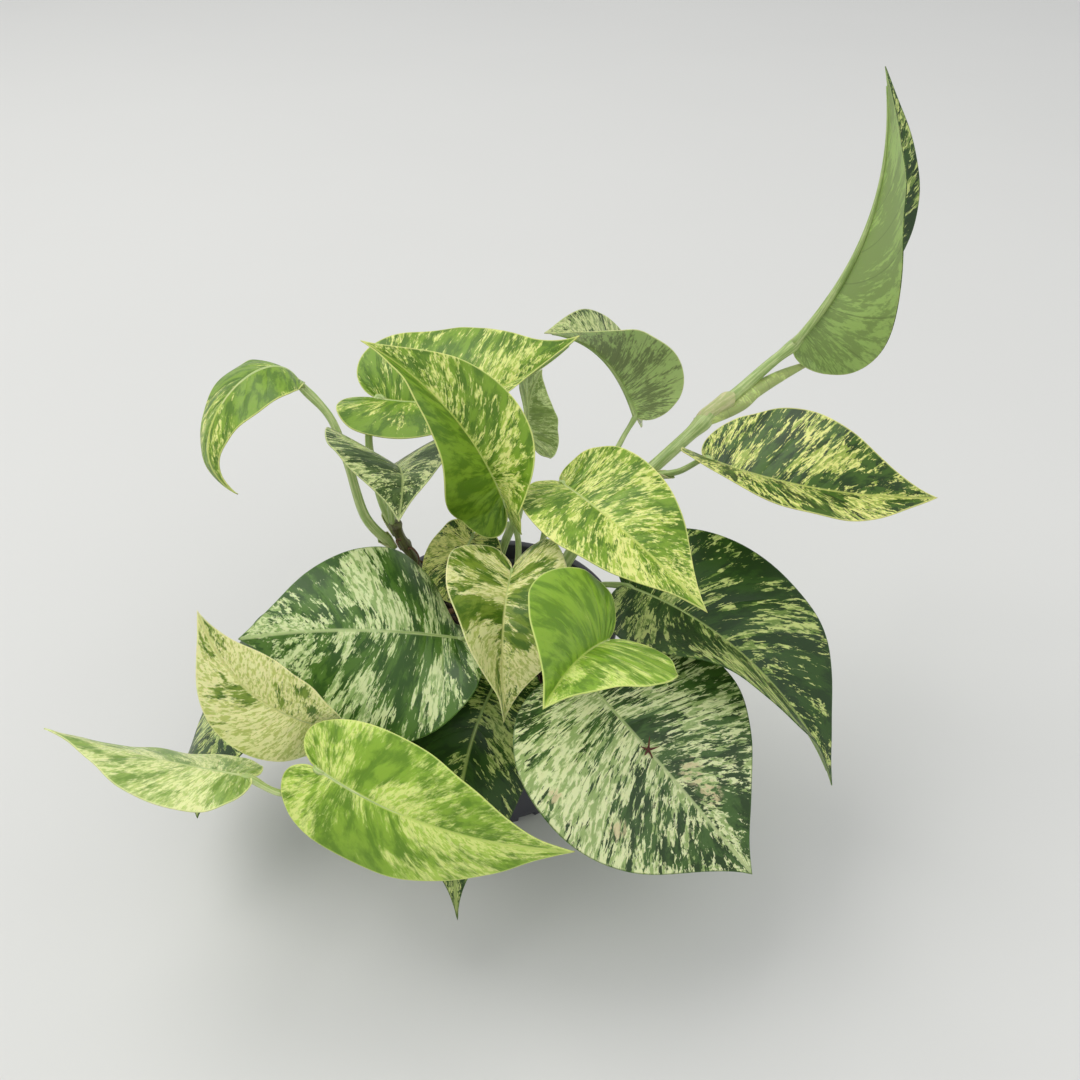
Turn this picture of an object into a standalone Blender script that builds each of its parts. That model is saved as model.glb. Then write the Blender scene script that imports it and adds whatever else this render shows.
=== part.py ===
"""Potted marble pothos: a tapered plastic nursery pot of soil and the trailing plant that grows in it.

Metres, +Z up. The origin is the middle of the flat underside of the pot. Long stems rise from the
soil, each leaf hangs on its own petiole, and every blade is a solid of its own.
"""

from dataclasses import dataclass
import math

import bmesh
import bpy
import numpy as np

# ---- driving dimensions -------------------------------------------------------------------------
MM = 0.001
POT_HEIGHT = 0.105
POT_RIM_RADIUS = 0.060
POT_BASE_RADIUS = 0.0425
POT_WALL = 0.0013
POT_LIP_WIDTH = 0.0028
POT_LIP_DEPTH = 0.0035
POT_BAND_DEPTH = 0.011
POT_BAND_STEP = 0.0012
POT_INSIDE_EDGE = 0.0006
POT_OUTSIDE_EDGE = 0.0008
POT_FOOT_RISE = 0.0012
POT_FOOT_CHAMFER = 0.001
TURN_STEPS = 48
NOTCH_COUNT = 8
NOTCH_WIDTH = 0.008
NOTCH_HEIGHT = 0.004
NOTCH_DEPTH = 0.008
SOIL_TOP = 0.090
SOIL_GAP = 0.0004
SOIL_SHOULDER = 0.003
SOIL_SHOULDER_DROP = 0.002
SOIL_FOOT_STEP = 0.005
BLADE_THICKNESS = 0.0008
BLADE_COLUMNS = 6
BLADE_ROWS = 12
LEAST_CURL = 0.01  # in degrees, so that a blade with no curl needs no other formula
MERGE_DISTANCE = 1e-6
TURN_MERGE_DISTANCE = 1e-5
FOLD_SETTLED = 0.5  # the share of the midrib by which a fold has its tip value
FOOT_POWER = 2.4
ROW_POWER = 1.25
PETIOLE_RADIUS = 0.0015
PETIOLE_END_GAP = 0.0025
PETIOLE_TIP = 0.75
ROUTE_STEP = 0.006

# ---- colours -------------------------------------------------------------------------------------
CHARCOAL = (0.035, 0.035, 0.042, 1)
PEAT = (0.045, 0.028, 0.018, 1)
LIME = (0.30, 0.50, 0.09, 1)
CREAM = (0.62, 0.66, 0.32, 1)
GREEN = (0.09, 0.20, 0.05, 1)
PALE_STEM = (0.33, 0.46, 0.18, 1)
OLD_STEM = (0.20, 0.19, 0.09, 1)
ROOT_BROWN = (0.10, 0.06, 0.04, 1)


@dataclass(frozen=True)
class Leaf:
    """A heart-shaped blade and its petiole, in millimetres and degrees."""

    name: str
    colour: tuple
    spine: tuple  # the midrib, from where the petiole joins to the tip
    face: tuple  # the way that the upper side faces at the base
    face_tip: tuple  # and at the tip
    half_width: float
    fold: tuple  # how far the left and the right half rise from flat
    curl: tuple  # how far each half bends down again at its margin
    petiole: tuple  # the petiole's route, from the stem or the soil to just short of the blade
    lobe: tuple  # how far the left and the right lobe reach back, as a share of the length
    widest: float = 0.30  # where the blade is widest, as a share of the length
    fold_tip: tuple = ()  # the fold from halfway to the tip, where it isn't as at the base


LEAVES = (
    Leaf("right_tall", GREEN, ((147, 87, 204), (177, 101, 256), (181, 136, 320)),
         (0.8, 0.4, 0.5), (0.8, -0.4, 0.5), 39, (32, 60), (21, -7),
         ((104, 68, 175), (118, 73, 184), (135, 82, 196)), (0.04, -0.12), fold_tip=(32, 29)),
    Leaf("right_low", GREEN, ((101, 41, 169), (147, 14, 170), (202, 8, 169)),
         (-0.1, 0.2, 1), (0, -0.6, 0.8), 38, (28, 34), (1, 11),
         ((81, 44, 157), (90, 40, 162)), (0.06, 0.06)),
    Leaf("back_right", GREEN, ((72, 83, 166), (47, 100, 197), (25, 94, 207)),
         (0.4, 0.8, 0.5), (0.1, 0, 1), 39, (32, 34), (7, -3),
         ((63, 52, 148), (60, 63, 153), (65, 75, 158)), (0.07, 0.07)),
    Leaf("back_centre", LIME, ((-57, 72, 183), (-10, 63, 189), (41, 58, 224)),
         (-0.2, -0.1, 1), (0, 0, 1), 44, (40, 28), (37, 29),
         ((-48, 27, 139), (-54, 35, 153), (-60, 55, 170)), (0.14, 0.14)),
    Leaf("centre_upright", GREEN, ((8, -3, 173), (-17, 13, 212), (-53, 26, 238)),
         (-0.5, 0.1, 0.8), (0.2, -0.4, 0.9), 26, (50, 31), (33, 3),
         ((8, 8, 92), (11, 5, 120), (13, 1, 150)), (0.15, 0.15)),
    Leaf("front_cream", CREAM, ((11, -27, 156), (8, -52, 152), (8, -81, 119)),
         (-0.3, -0.6, 0.8), (0.7, -0.2, 0.6), 30, (30, 35), (11, -4),
         ((2, -8, 92), (5, -14, 120), (9, -20, 145)), (0.15, 0.15)),
    Leaf("right_lime", LIME, ((32, 6, 179), (58, -30, 179), (91, -58, 159)),
         (0, -0.4, 0.9), (0.2, -0.4, 0.9), 29, (12, 21), (-25, 13),
         ((20, 14, 92), (23, 13, 130), (28, 10, 164)), (0.07, 0.07)),
    Leaf("front_curled", LIME, ((50, -70, 155), (36, -94, 166), (24, -122, 171)),
         (0, -0.4, 0.9), (0.1, -0.3, 0.9), 36, (30, 58), (22, 60),
         ((26, -12, 92), (38, -34, 118), (48, -56, 145)), (0.17, 0.17)),
    Leaf("right_dark", GREEN, ((62, -7, 130), (104, -32, 121), (136, -56, 98), (155, -70, 65)),
         (0, -0.6, 1), (0.5, -0.5, 0.6), 46, (0, 30), (5, 0),
         ((34, 10, 92), (38, 8, 108), (50, 0, 124)), (0.06, 0.03), 0.36, fold_tip=(0, 55)),
    Leaf("front_large", GREEN, ((40, -60, 126), (73, -93, 106), (112, -115, 63)),
         (0.3, -0.5, 0.8), (0.2, -0.7, 0.7), 53, (-4, 8), (0, 5),
         ((14, -22, 92), (22, -34, 108), (32, -48, 120)), (0.06, 0.06)),
    Leaf("left_large", GREEN, ((-9, -44, 131), (-57, -49, 141), (-107, -46, 133)),
         (-0.8, -0.1, 0.5), (0.1, -0.7, 0.7), 47, (-6, -3), (16, 30),
         ((-8, -16, 92), (-5, -26, 108), (-5, -38, 122)), (0.06, 0.06)),
    Leaf("left_cream", CREAM, ((-64, -81, 116), (-90, -84, 137), (-110, -72, 173)),
         (-0.6, -0.7, 0.3), (0.2, -0.4, 0.9), 22, (26, 17), (14, 3),
         ((-54, -82, 104), (-58, -82, 108)), (0.04, 0.04)),
    Leaf("far_left", LIME, ((-92, -106, 115), (-133, -100, 120), (-173, -95, 131)),
         (0, 0.2, 1), (-0.1, 0.5, 0.8), 25, (7, -20), (24, 5),
         ((-57, -89, 101), (-67, -98, 98), (-81, -106, 105)), (0.04, 0.04)),
    Leaf("front_lime", LIME, ((-66, -103, 117), (-17, -127, 111), (36, -138, 111)),
         (-0.1, -0.6, 0.8), (0, -1, 0.2), 28, (15, -5), (22, 20),
         ((-55, -91, 108), (-60, -97, 113)), (0.12, 0.12)),
    Leaf("left_hanging", GREEN, ((-97, -3, 93), (-127, -44, 69), (-129, -85, 61)),
         (-0.7, -0.6, 0.3), (-0.5, -0.2, 0.8), 38, (0, 0), (10, 20),
         ((-34, 2, 92), (-52, 4, 112), (-80, 0, 105)), (0.06, 0.06)),
    Leaf("front_hanging", GREEN, ((8, -47, 118), (-3, -69, 108), (-12, -92, 78), (-13, -117, 32)),
         (-0.1, -0.5, 0.9), (0.1, -0.8, 0.3), 28, (0, 0), (10, 10),
         ((3, -32, 92), (5, -38, 106)), (0.05, 0.05)),
    Leaf("small_left", CREAM, ((-9, 22, 137), (-16, 2, 125), (-14, -15, 124)),
         (-0.2, -0.5, 0.9), (-0.1, -0.5, 0.9), 20, (5, 0), (10, 16),
         ((-14, 24, 92), (-12, 28, 112), (-10, 27, 129)), (0.13, 0.13)),
    Leaf("arching_left", LIME, ((-87, 48, 203), (-95, 42, 217), (-111, 28, 214), (-110, 1, 176)),
         (-0.2, -0.1, 1), (-0.8, -0.6, 0.1), 22, (-10, -5), (6, 14),
         ((-50, 21, 134), (-60, 23, 148), (-67, 33, 172), (-74, 42, 190)), (0.02, 0.02)),
    Leaf("saddle", GREEN, ((-46, 25, 174), (-38, 6, 185), (-36, -26, 181)),
         (0.3, 0, 1), (-0.2, -0.4, 0.9), 36, (37, 35), (19, 12),
         ((-47, 22, 149), (-47, 22, 163)), (0.17, 0.17)),
    Leaf("young", LIME, ((19, 45, 174), (17, 66, 180), (24, 94, 187)),
         (0.8, 0.1, 0.6), (0.6, -0.7, 0.5), 19, (31, 21), (6, 12),
         ((13, 31, 143), (17, 39, 160)), (0.14, 0.14)),
)


@dataclass(frozen=True)
class Stem:
    """A vine, a rolled new leaf or a root: a round tube along a route, in millimetres."""

    name: str
    colour: tuple
    route: tuple
    radius: float


VINES = (
    Stem("vine_right", PALE_STEM, ((22, 22, 92), (30, 20, 110), (45, 30, 132), (62, 41, 146),
                                   (78, 51, 156), (100, 64, 171)), 2.4),
    Stem("vine_left", OLD_STEM, ((-30, 18, 92), (-39, 24, 120), (-44, 24, 133), (-46, 22, 144)), 2.2),
    Stem("vine_centre", PALE_STEM, ((-4, 14, 92), (4, 22, 125), (10, 29, 139)), 2.0),
    Stem("vine_front", OLD_STEM, ((-22, -22, 92), (-28, -44, 112), (-40, -70, 108),
                                  (-50, -82, 102)), 2.2),
    Stem("leaf_unfurling", PALE_STEM, ((121, 71, 181), (128, 76, 186), (140, 82, 191),
                                       (153, 88, 194)), 2.0),
    Stem("aerial_root_left", ROOT_BROWN, ((-40, 21, 126), (-38, 18, 132), (-36, 16, 130)), 0.8),
)

# ---- geometry -------------------------------------------------------------------------------------


def clear_scene():
    """Removes what a new scene starts with."""
    for obj in list(bpy.data.objects):
        bpy.data.objects.remove(obj)


def material(name, colour, roughness):
    """A Principled material of one colour."""
    made = bpy.data.materials.new(name)
    made.use_nodes = True
    shader = made.node_tree.nodes["Principled BSDF"]
    shader.inputs["Base Color"].default_value = colour
    shader.inputs["Roughness"].default_value = roughness
    return made


def add_object(name, data, finish, group):
    """Puts mesh or curve data into the group as a named object."""
    obj = bpy.data.objects.new(name, data)
    obj.data.materials.append(finish)
    group.objects.link(obj)
    return obj


def unit(vectors):
    """The same vectors at length 1."""
    return vectors / np.linalg.norm(vectors, axis=-1, keepdims=True)


def bezier(points, t):
    """A cubic Bezier curve's points at the parameters t."""
    first, second, third, fourth = np.array(points, float)
    t = t[..., None]
    start = (1 - t) ** 3 * first + 3 * (1 - t) ** 2 * t * second
    return start + 3 * (1 - t) * t ** 2 * third + t ** 3 * fourth


def heart_outline(t, lobe, widest):
    """Half of a heart: from the notch (t = 0) round the lobe to the tip (t = 1).

    Two cubic arcs meet at the widest point. The first coordinate is the share of the half width,
    the second is the share of the length.
    """
    back = bezier(((0, 0), (0.10, -1.25 * lobe - 0.02), (1, 0.02 - 1.35 * lobe), (1, widest)),
                  np.clip(2 * t, 0, 1))
    front = bezier(((1, widest), (1, widest + 0.33), (0.30, 0.80), (0, 1)),
                   np.clip(2 * t - 1, 0, 1))
    return np.where((t <= 0.5)[..., None], back, front)


def along(points, share):
    """Position and direction on the smooth curve through the points, by share of its chord length.

    Beyond either end the curve goes on straight.
    """
    points = np.array(points, float)
    chords = np.linalg.norm(np.diff(points, axis=0), axis=1)
    knots = np.append(0, np.cumsum(chords)) / chords.sum()
    held = np.clip(share, 0, 1)
    position = np.zeros(share.shape + (3,))
    rate = np.zeros(share.shape + (3,))
    for axis in range(3):
        fit = np.polyfit(knots, points[:, axis], len(points) - 1)
        position[..., axis] = np.polyval(fit, held)
        rate[..., axis] = np.polyval(np.polyder(fit), held)
    return position + rate * (share - held)[..., None], unit(rate)


def blade_points(leaf, across, t):
    """Points of a blade's middle surface: across runs -1 to 1, and t from the notch to the tip.

    Each row leaves the midrib and swings forward to the margin, as a side vein does. A half rises
    from the midrib at its fold angle and bends evenly by its curl angle on the way to the margin.
    """
    right = across >= 0
    left_edge, right_edge = (heart_outline(t, lobe, leaf.widest) for lobe in leaf.lobe)
    edge = np.where(right[..., None], right_edge, left_edge)
    side = np.abs(across)
    foot = t ** FOOT_POWER
    out = edge[..., 0] * side
    share = foot + (edge[..., 1] - foot) * side ** ROW_POWER
    position, direction = along(leaf.spine, share)
    held = np.clip(share, 0, 1)[..., None]
    facing = (1 - held) * unit(np.array(leaf.face, float)) + held * unit(np.array(leaf.face_tip, float))
    sideways = unit(np.cross(direction, facing))
    upward = np.cross(sideways, direction)
    turned = held[..., 0] / FOLD_SETTLED
    turned = np.clip(turned, 0, 1) ** 2 * (3 - 2 * np.clip(turned, 0, 1))
    (left_fold, right_fold), (left_end, right_end) = leaf.fold, leaf.fold_tip or leaf.fold
    left_fold = left_fold + (left_end - left_fold) * turned
    right_fold = right_fold + (right_end - right_fold) * turned
    fold = np.radians(np.where(right, right_fold, left_fold))
    curl = np.radians(np.where(right, leaf.curl[1], leaf.curl[0]) + LEAST_CURL)
    reach = leaf.half_width * (np.sin(fold) - np.sin(fold - curl * out)) / curl
    rise = leaf.half_width * (np.cos(fold - curl * out) - np.cos(fold)) / curl
    return position + (reach * np.sign(across))[..., None] * sideways + rise[..., None] * upward


def blade_mesh(leaf):
    """The blade as a grid bent to its formula, with its notch and tip rows drawn together."""
    shape = bmesh.new()
    bmesh.ops.create_grid(shape, x_segments=BLADE_COLUMNS, y_segments=BLADE_ROWS, size=1)
    flat = np.array([vertex.co for vertex in shape.verts])
    placed = blade_points(leaf, flat[:, 0], (flat[:, 1] + 1) / 2) * MM
    for vertex, point in zip(shape.verts, placed):
        vertex.co = point
    bmesh.ops.remove_doubles(shape, verts=shape.verts, dist=MERGE_DISTANCE)
    bmesh.ops.recalc_face_normals(shape, faces=shape.faces)
    mesh = bpy.data.meshes.new(f"leaf_{leaf.name}")
    shape.to_mesh(mesh)
    shape.free()
    mesh.shade_smooth()
    return mesh


def add_blade(leaf, group):
    """One leaf blade of even thickness."""
    finish = material(f"{leaf.name}_blade", leaf.colour, 0.4)
    obj = add_object(f"leaf_{leaf.name}", blade_mesh(leaf), finish, group)
    wall = obj.modifiers.new("thickness", "SOLIDIFY")
    wall.thickness = BLADE_THICKNESS
    wall.offset = 0
    return obj


def smooth_route(points):
    """A smooth route in metres through points in millimetres, a short step apart."""
    points = np.array(points, float) * MM
    if len(points) == 2:
        return points
    before = 2 * points[0] - points[1]
    after = 2 * points[-1] - points[-2]
    padded = np.vstack((before, points, after))
    route = []
    for index in range(len(points) - 1):
        first, second, third, fourth = padded[index:index + 4]
        steps = max(2, math.ceil(np.linalg.norm(third - second) / ROUTE_STEP))
        for t in np.arange(steps) / steps:
            bend = (2 * first - 5 * second + 4 * third - fourth) * t ** 2
            twist = (3 * second - first - 3 * third + fourth) * t ** 3
            route.append((2 * second + (third - first) * t + bend + twist) / 2)
    route.append(points[-1])
    return np.array(route)


def add_tube(name, colour, points, radius, group, tip=1):
    """A round stem with filled ends along a smooth route, whose far end has tip times the radius."""
    route = smooth_route(points)
    curve = bpy.data.curves.new(name, "CURVE")
    curve.dimensions = "3D"
    curve.bevel_depth = radius
    curve.bevel_resolution = 2
    curve.use_fill_caps = True
    spline = curve.splines.new("POLY")
    spline.points.add(len(route) - 1)
    for point, place, share in zip(spline.points, route, np.linspace(1, tip, len(route))):
        point.co = (*place, 1)
        point.radius = share
    return add_object(name, curve, material(name, colour, 0.5), group)


def add_petiole(leaf, group):
    """A leaf's petiole, ending a small gap before the blade's notch."""
    last = np.array(leaf.petiole[-1], float)
    notch = np.array(leaf.spine[0], float)
    end = notch - unit(notch - last) * PETIOLE_END_GAP / MM
    points = (*leaf.petiole, tuple(end))
    return add_tube(f"petiole_{leaf.name}", PALE_STEM, points, PETIOLE_RADIUS, group, PETIOLE_TIP)


def wall_radius(height):
    """The pot's outer radius at a height, below its band."""
    rise = height / (POT_HEIGHT - POT_BAND_DEPTH)
    return POT_BASE_RADIUS + (POT_RIM_RADIUS - POT_LIP_WIDTH - POT_BAND_STEP - POT_BASE_RADIUS) * rise


def pot_profile():
    """The pot's half section, up the inside from the floor, over the lip and down the outside."""
    band_foot = POT_HEIGHT - POT_BAND_DEPTH
    under_lip = POT_HEIGHT - POT_LIP_DEPTH
    band_radius = POT_RIM_RADIUS - POT_LIP_WIDTH
    return (
        (0, POT_WALL),
        (wall_radius(POT_WALL) - POT_WALL, POT_WALL),
        (wall_radius(band_foot) - POT_WALL, band_foot),
        (band_radius - POT_WALL, band_foot + POT_BAND_STEP),
        (band_radius - POT_WALL, POT_HEIGHT - POT_INSIDE_EDGE),
        (band_radius - POT_WALL + POT_INSIDE_EDGE, POT_HEIGHT),
        (POT_RIM_RADIUS - POT_OUTSIDE_EDGE, POT_HEIGHT),
        (POT_RIM_RADIUS, POT_HEIGHT - POT_OUTSIDE_EDGE),
        (POT_RIM_RADIUS, under_lip),
        (band_radius, under_lip),
        (band_radius, band_foot + POT_BAND_STEP),
        (wall_radius(band_foot), band_foot),
        (wall_radius(POT_FOOT_RISE), POT_FOOT_RISE),
        (POT_BASE_RADIUS - POT_FOOT_CHAMFER, 0),
        (0, 0),
    )


def add_turned(name, profile, finish, group):
    """A profile in the XZ plane turned about Z."""
    shape = bmesh.new()
    corners = [shape.verts.new((radius, 0, height)) for radius, height in profile]
    for first, second in zip(corners, corners[1:]):
        shape.edges.new((first, second))
    mesh = bpy.data.meshes.new(name)
    shape.to_mesh(mesh)
    shape.free()
    obj = add_object(name, mesh, finish, group)
    turn = obj.modifiers.new("turn", "SCREW")
    turn.steps = TURN_STEPS
    turn.render_steps = TURN_STEPS
    turn.use_merge_vertices = True
    turn.merge_threshold = TURN_MERGE_DISTANCE
    return obj


def add_drain_notches(pot, cutters):
    """Cuts the drainage slots through the corner of the pot's base."""
    for index in range(NOTCH_COUNT):
        angle = 2 * math.pi * (index + 0.5) / NOTCH_COUNT
        shape = bmesh.new()
        bmesh.ops.create_cube(shape, size=1)
        mesh = bpy.data.meshes.new(f"notch_{index}")
        shape.to_mesh(mesh)
        shape.free()
        cutter = bpy.data.objects.new(mesh.name, mesh)
        cutters.objects.link(cutter)
        cutter.scale = (NOTCH_DEPTH, NOTCH_WIDTH, 2 * NOTCH_HEIGHT)
        cutter.rotation_euler = (0, 0, angle)
        cutter.location = (POT_BASE_RADIUS * math.cos(angle), POT_BASE_RADIUS * math.sin(angle), 0)
        cutter.hide_render = True
        cutter.display_type = "WIRE"
        cut = pot.modifiers.new(mesh.name, "BOOLEAN")
        cut.operation = "DIFFERENCE"
        cut.solver = "EXACT"
        cut.object = cutter


def soil_profile():
    """The soil's half section: a flat-topped plug that fills the pot with a thin gap all round."""
    inside = POT_WALL + SOIL_GAP
    foot = POT_WALL + NOTCH_HEIGHT
    return (
        (0, SOIL_TOP),
        (wall_radius(SOIL_TOP) - inside - SOIL_SHOULDER, SOIL_TOP),
        (wall_radius(SOIL_TOP) - inside, SOIL_TOP - SOIL_SHOULDER_DROP),
        (wall_radius(foot) - inside, foot),
        (wall_radius(POT_WALL) - inside - SOIL_FOOT_STEP, POT_WALL + SOIL_GAP),
        (0, POT_WALL + SOIL_GAP),
    )


def main():
    """Builds the pot, the soil and the plant."""
    clear_scene()
    group = bpy.data.collections.new("potted_pothos")
    cutters = bpy.data.collections.new("cutters")
    for collection in (group, cutters):
        bpy.context.scene.collection.children.link(collection)
    pot = add_turned("pot", pot_profile(), material("pot", CHARCOAL, 0.45), group)
    add_drain_notches(pot, cutters)
    add_turned("soil", soil_profile(), material("soil", PEAT, 0.95), group)
    for stem in VINES:
        add_tube(stem.name, stem.colour, stem.route, stem.radius * MM, group)
    for leaf in LEAVES:
        add_petiole(leaf, group)
        add_blade(leaf, group)


main()
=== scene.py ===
"""A potted marbled pothos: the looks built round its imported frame.

Plans give lengths in millimetres and angles in degrees. Meshes are in metres, with the pot's foot
on the floor at the origin, the viewer towards -Y and Z up.
"""

import logging
from collections.abc import Sequence
from dataclasses import dataclass, field
from enum import Enum
from functools import cache

import bpy
import numpy as np
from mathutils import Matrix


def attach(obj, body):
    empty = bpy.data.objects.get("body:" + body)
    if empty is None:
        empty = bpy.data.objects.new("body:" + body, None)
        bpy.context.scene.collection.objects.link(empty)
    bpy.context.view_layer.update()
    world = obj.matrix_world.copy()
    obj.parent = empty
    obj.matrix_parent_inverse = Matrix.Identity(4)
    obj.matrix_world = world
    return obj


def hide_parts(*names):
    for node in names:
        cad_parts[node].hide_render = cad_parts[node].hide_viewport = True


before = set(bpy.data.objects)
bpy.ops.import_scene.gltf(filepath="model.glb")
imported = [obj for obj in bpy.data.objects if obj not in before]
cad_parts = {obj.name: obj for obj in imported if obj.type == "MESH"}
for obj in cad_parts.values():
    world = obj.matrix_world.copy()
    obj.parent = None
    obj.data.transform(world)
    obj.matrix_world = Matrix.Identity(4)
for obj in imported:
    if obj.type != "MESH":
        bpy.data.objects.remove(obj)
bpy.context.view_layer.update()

LOG = logging.getLogger("potted_pothos")
BODY = "root"
MM = 0.001
TURN = 2 * np.pi

Array = np.ndarray
Triple = tuple[float, float, float]
Pair = tuple[float, float]
Route = tuple[Triple, ...]
Faces = list[list[int]]
Socket = bpy.types.NodeSocket
Material = bpy.types.Material

FINE = 8  # steps worked out along a route for each place that is kept
MIX_SHARE, MIX_FIRST, MIX_SECOND, MIX_COLOUR = 0, 6, 7, 2  # a colour Mix node's sockets


# ---- shapes -------------------------------------------------------------------------------------


def unit(vectors: Array) -> Array:
    """The same vectors at length 1, and a zero vector left as it is."""
    length = np.linalg.norm(vectors, axis=-1, keepdims=True)
    return vectors / np.maximum(length, 1e-12)


def smoothstep(low: float, high: float, value: Array) -> Array:
    """0 below low, 1 above high, and 3s^2 - 2s^3 of the share s between them."""
    share = np.clip((value - low) / (high - low), 0, 1)
    return share * share * (3 - 2 * share)


def bell(value: Array, width: float) -> Array:
    """e to minus the square of value / width: 1 in the middle, falling away on both sides."""
    return np.exp(-(value / width) ** 2)


def ring(count: int) -> Array:
    """The angles of some even places round a circle."""
    return np.arange(count) / count * TURN


def circle(angle: Array) -> Array:
    """Places on the unit circle at some angles, with one more axis than the angles."""
    return np.stack((np.cos(angle), np.sin(angle)), axis=-1)


def bezier(points: Sequence[Pair], t: Array) -> Array:
    """The cubic Bezier curve of four points.

    It is (1 - t)^3 a + 3 (1 - t)^2 t b + 3 (1 - t) t^2 c + t^3 d.

    Args:
        points: the first end, the two points that draw the curve towards them, and the last end.
        t: parameters of any shape, 0 at the first end and 1 at the last.

    Returns:
        The curve's places, with one more axis than t.
    """
    first, second, third, fourth = np.array(points, float)
    t = t[..., None]
    start = (1 - t) ** 3 * first + 3 * (1 - t) ** 2 * t * second
    return start + 3 * (1 - t) * t ** 2 * third + t ** 3 * fourth


def smooth_route(points: Sequence[Triple | Array], count: int) -> Array:
    """A smooth line through points, its places spaced evenly along its length.

    Between two neighbours b and c, with a before and d after, a place at share t is the Catmull-Rom
    cubic (2b + (c - a)t + (2a - 5b + 4c - d)t^2 + (3b - a - 3c + d)t^3) / 2.

    Args:
        points: the places to pass through, in millimetres.
        count: how many places to return.

    Returns:
        An array of count places, in metres.
    """
    places = np.array(points, float) * MM
    padded = np.vstack((2 * places[0] - places[1], places, 2 * places[-1] - places[-2]))
    share = np.linspace(0, len(places) - 1, FINE * count)
    index = np.minimum(share.astype(int), len(places) - 2)
    t = (share - index)[:, None]
    a, b, c, d = (padded[index + step] for step in range(4))
    line = (2 * b + (c - a) * t + (2 * a - 5 * b + 4 * c - d) * t ** 2
            + (3 * b - a - 3 * c + d) * t ** 3) / 2
    travelled = np.append(0, np.cumsum(np.linalg.norm(np.diff(line, axis=0), axis=1)))
    even = np.linspace(0, travelled[-1], count)
    return np.stack([np.interp(even, travelled, line[:, axis]) for axis in range(3)], axis=1)


def sweep(route: Array, outline: Array, facing: Array) -> Array:
    """A profile carried along a route.

    Place (i, j) is route i plus outline x times the sideways vector plus outline y times the upward
    vector. Sideways is the route's direction crossed with facing, and upward is sideways crossed
    with the direction.

    Args:
        route: places along the middle, shape (n, 3).
        outline: the profile in metres at each place, shape (n, m, 2).
        facing: the vector, or one for each place, that the profile's y leans towards.

    Returns:
        The grid of places, shape (n, m, 3).
    """
    direction = unit(np.gradient(route, axis=0))
    sideways = unit(np.cross(direction, facing))
    upward = np.cross(sideways, direction)
    across = outline[..., :1] * sideways[:, None]
    return route[:, None] + across + outline[..., 1:] * upward[:, None]


def buried(points: Route, depth: float) -> list[Array]:
    """The places of a route after one more, which lies straight behind the first by the depth."""
    knots = np.array(points, float)
    return [knots[0] - unit(knots[1] - knots[0]) * depth, *knots]


def square_to(route: Array, facing: Triple) -> Array:
    """The part of a facing that is square to a route's chord, times the chord's length squared."""
    chord = route[-1] - route[0]
    return np.cross(chord, np.cross(np.array(facing, float), chord))


def lattice(rows: int, columns: int, wrap: bool = False) -> Array:
    """The four corners of each cell of a grid, turning from its rows towards its columns.

    Args:
        rows: how many rows of places the grid has.
        columns: how many places a row has.
        wrap: whether the last column joins the first.

    Returns:
        The vertex numbers, shape (cells, 4).
    """
    row, column = np.meshgrid(np.arange(rows - 1), np.arange(columns - (not wrap)), indexing="ij")
    after = (column + 1) % columns
    corners = (row * columns + column, (row + 1) * columns + column,
               (row + 1) * columns + after, row * columns + after)
    return np.stack(corners, axis=-1).reshape(-1, 4)


def fan(pole: int, first: Array, second: Array) -> Faces:
    """Triangles from one vertex to each of some pairs of vertices."""
    return np.stack((np.full(len(first), pole), first, second), axis=1).tolist()


def nearest(points: Array, line: Array) -> Array:
    """The distance from each point to the nearest place of a finely stepped line."""
    gaps = points[..., None, :] - line
    return np.sqrt(np.einsum("...k,...k->...", gaps, gaps).min(axis=-1))


@dataclass
class Piece:
    """One named mesh on its way into the scene.

    Args:
        name: the object's name.
        points: vertex places in metres, shape (n, 3).
        faces: lists of vertex numbers.
        finishes: the materials in order of face index.
        slot: the record's material slot; not used.
        replaced: the frame's nodes that it stands for.
        traits: a vector for each vertex under each attribute name.
    """

    name: str
    points: Array
    faces: Faces
    finishes: tuple[Material, ...]
    slot: str = ""
    replaced: tuple[str, ...] = ()
    traits: dict[str, Array] = field(default_factory=dict)

    def place(self, thickness: float = 0.0) -> bpy.types.Object:
        """Puts the mesh on the plant's body.

        Args:
            thickness: the wall in metres that the mesh is the middle of; a closed mesh has none.

        Returns:
            The object.
        """
        mesh = bpy.data.meshes.new(self.name)
        mesh.from_pydata(self.points, [], self.faces)
        for name, values in self.traits.items():
            trait = mesh.attributes.new(name, "FLOAT_VECTOR", "POINT")
            trait.data.foreach_set("vector", np.ascontiguousarray(values, np.float32).ravel())
        mesh.polygons.foreach_set("use_smooth", np.ones(len(mesh.polygons), bool))
        mesh.update()
        obj = bpy.data.objects.new(self.name, mesh)
        bpy.context.scene.collection.objects.link(obj)
        for finish in self.finishes:
            mesh.materials.append(finish)
        if thickness:
            wall = obj.modifiers.new("thickness", "SOLIDIFY")
            wall.thickness = thickness
            wall.offset = 0
            wall.material_offset = len(self.finishes) - 1
        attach(obj, BODY)
        if self.replaced:
            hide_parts(*self.replaced)
        LOG.info("%s: %d faces", self.name, len(self.faces))
        return obj


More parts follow.
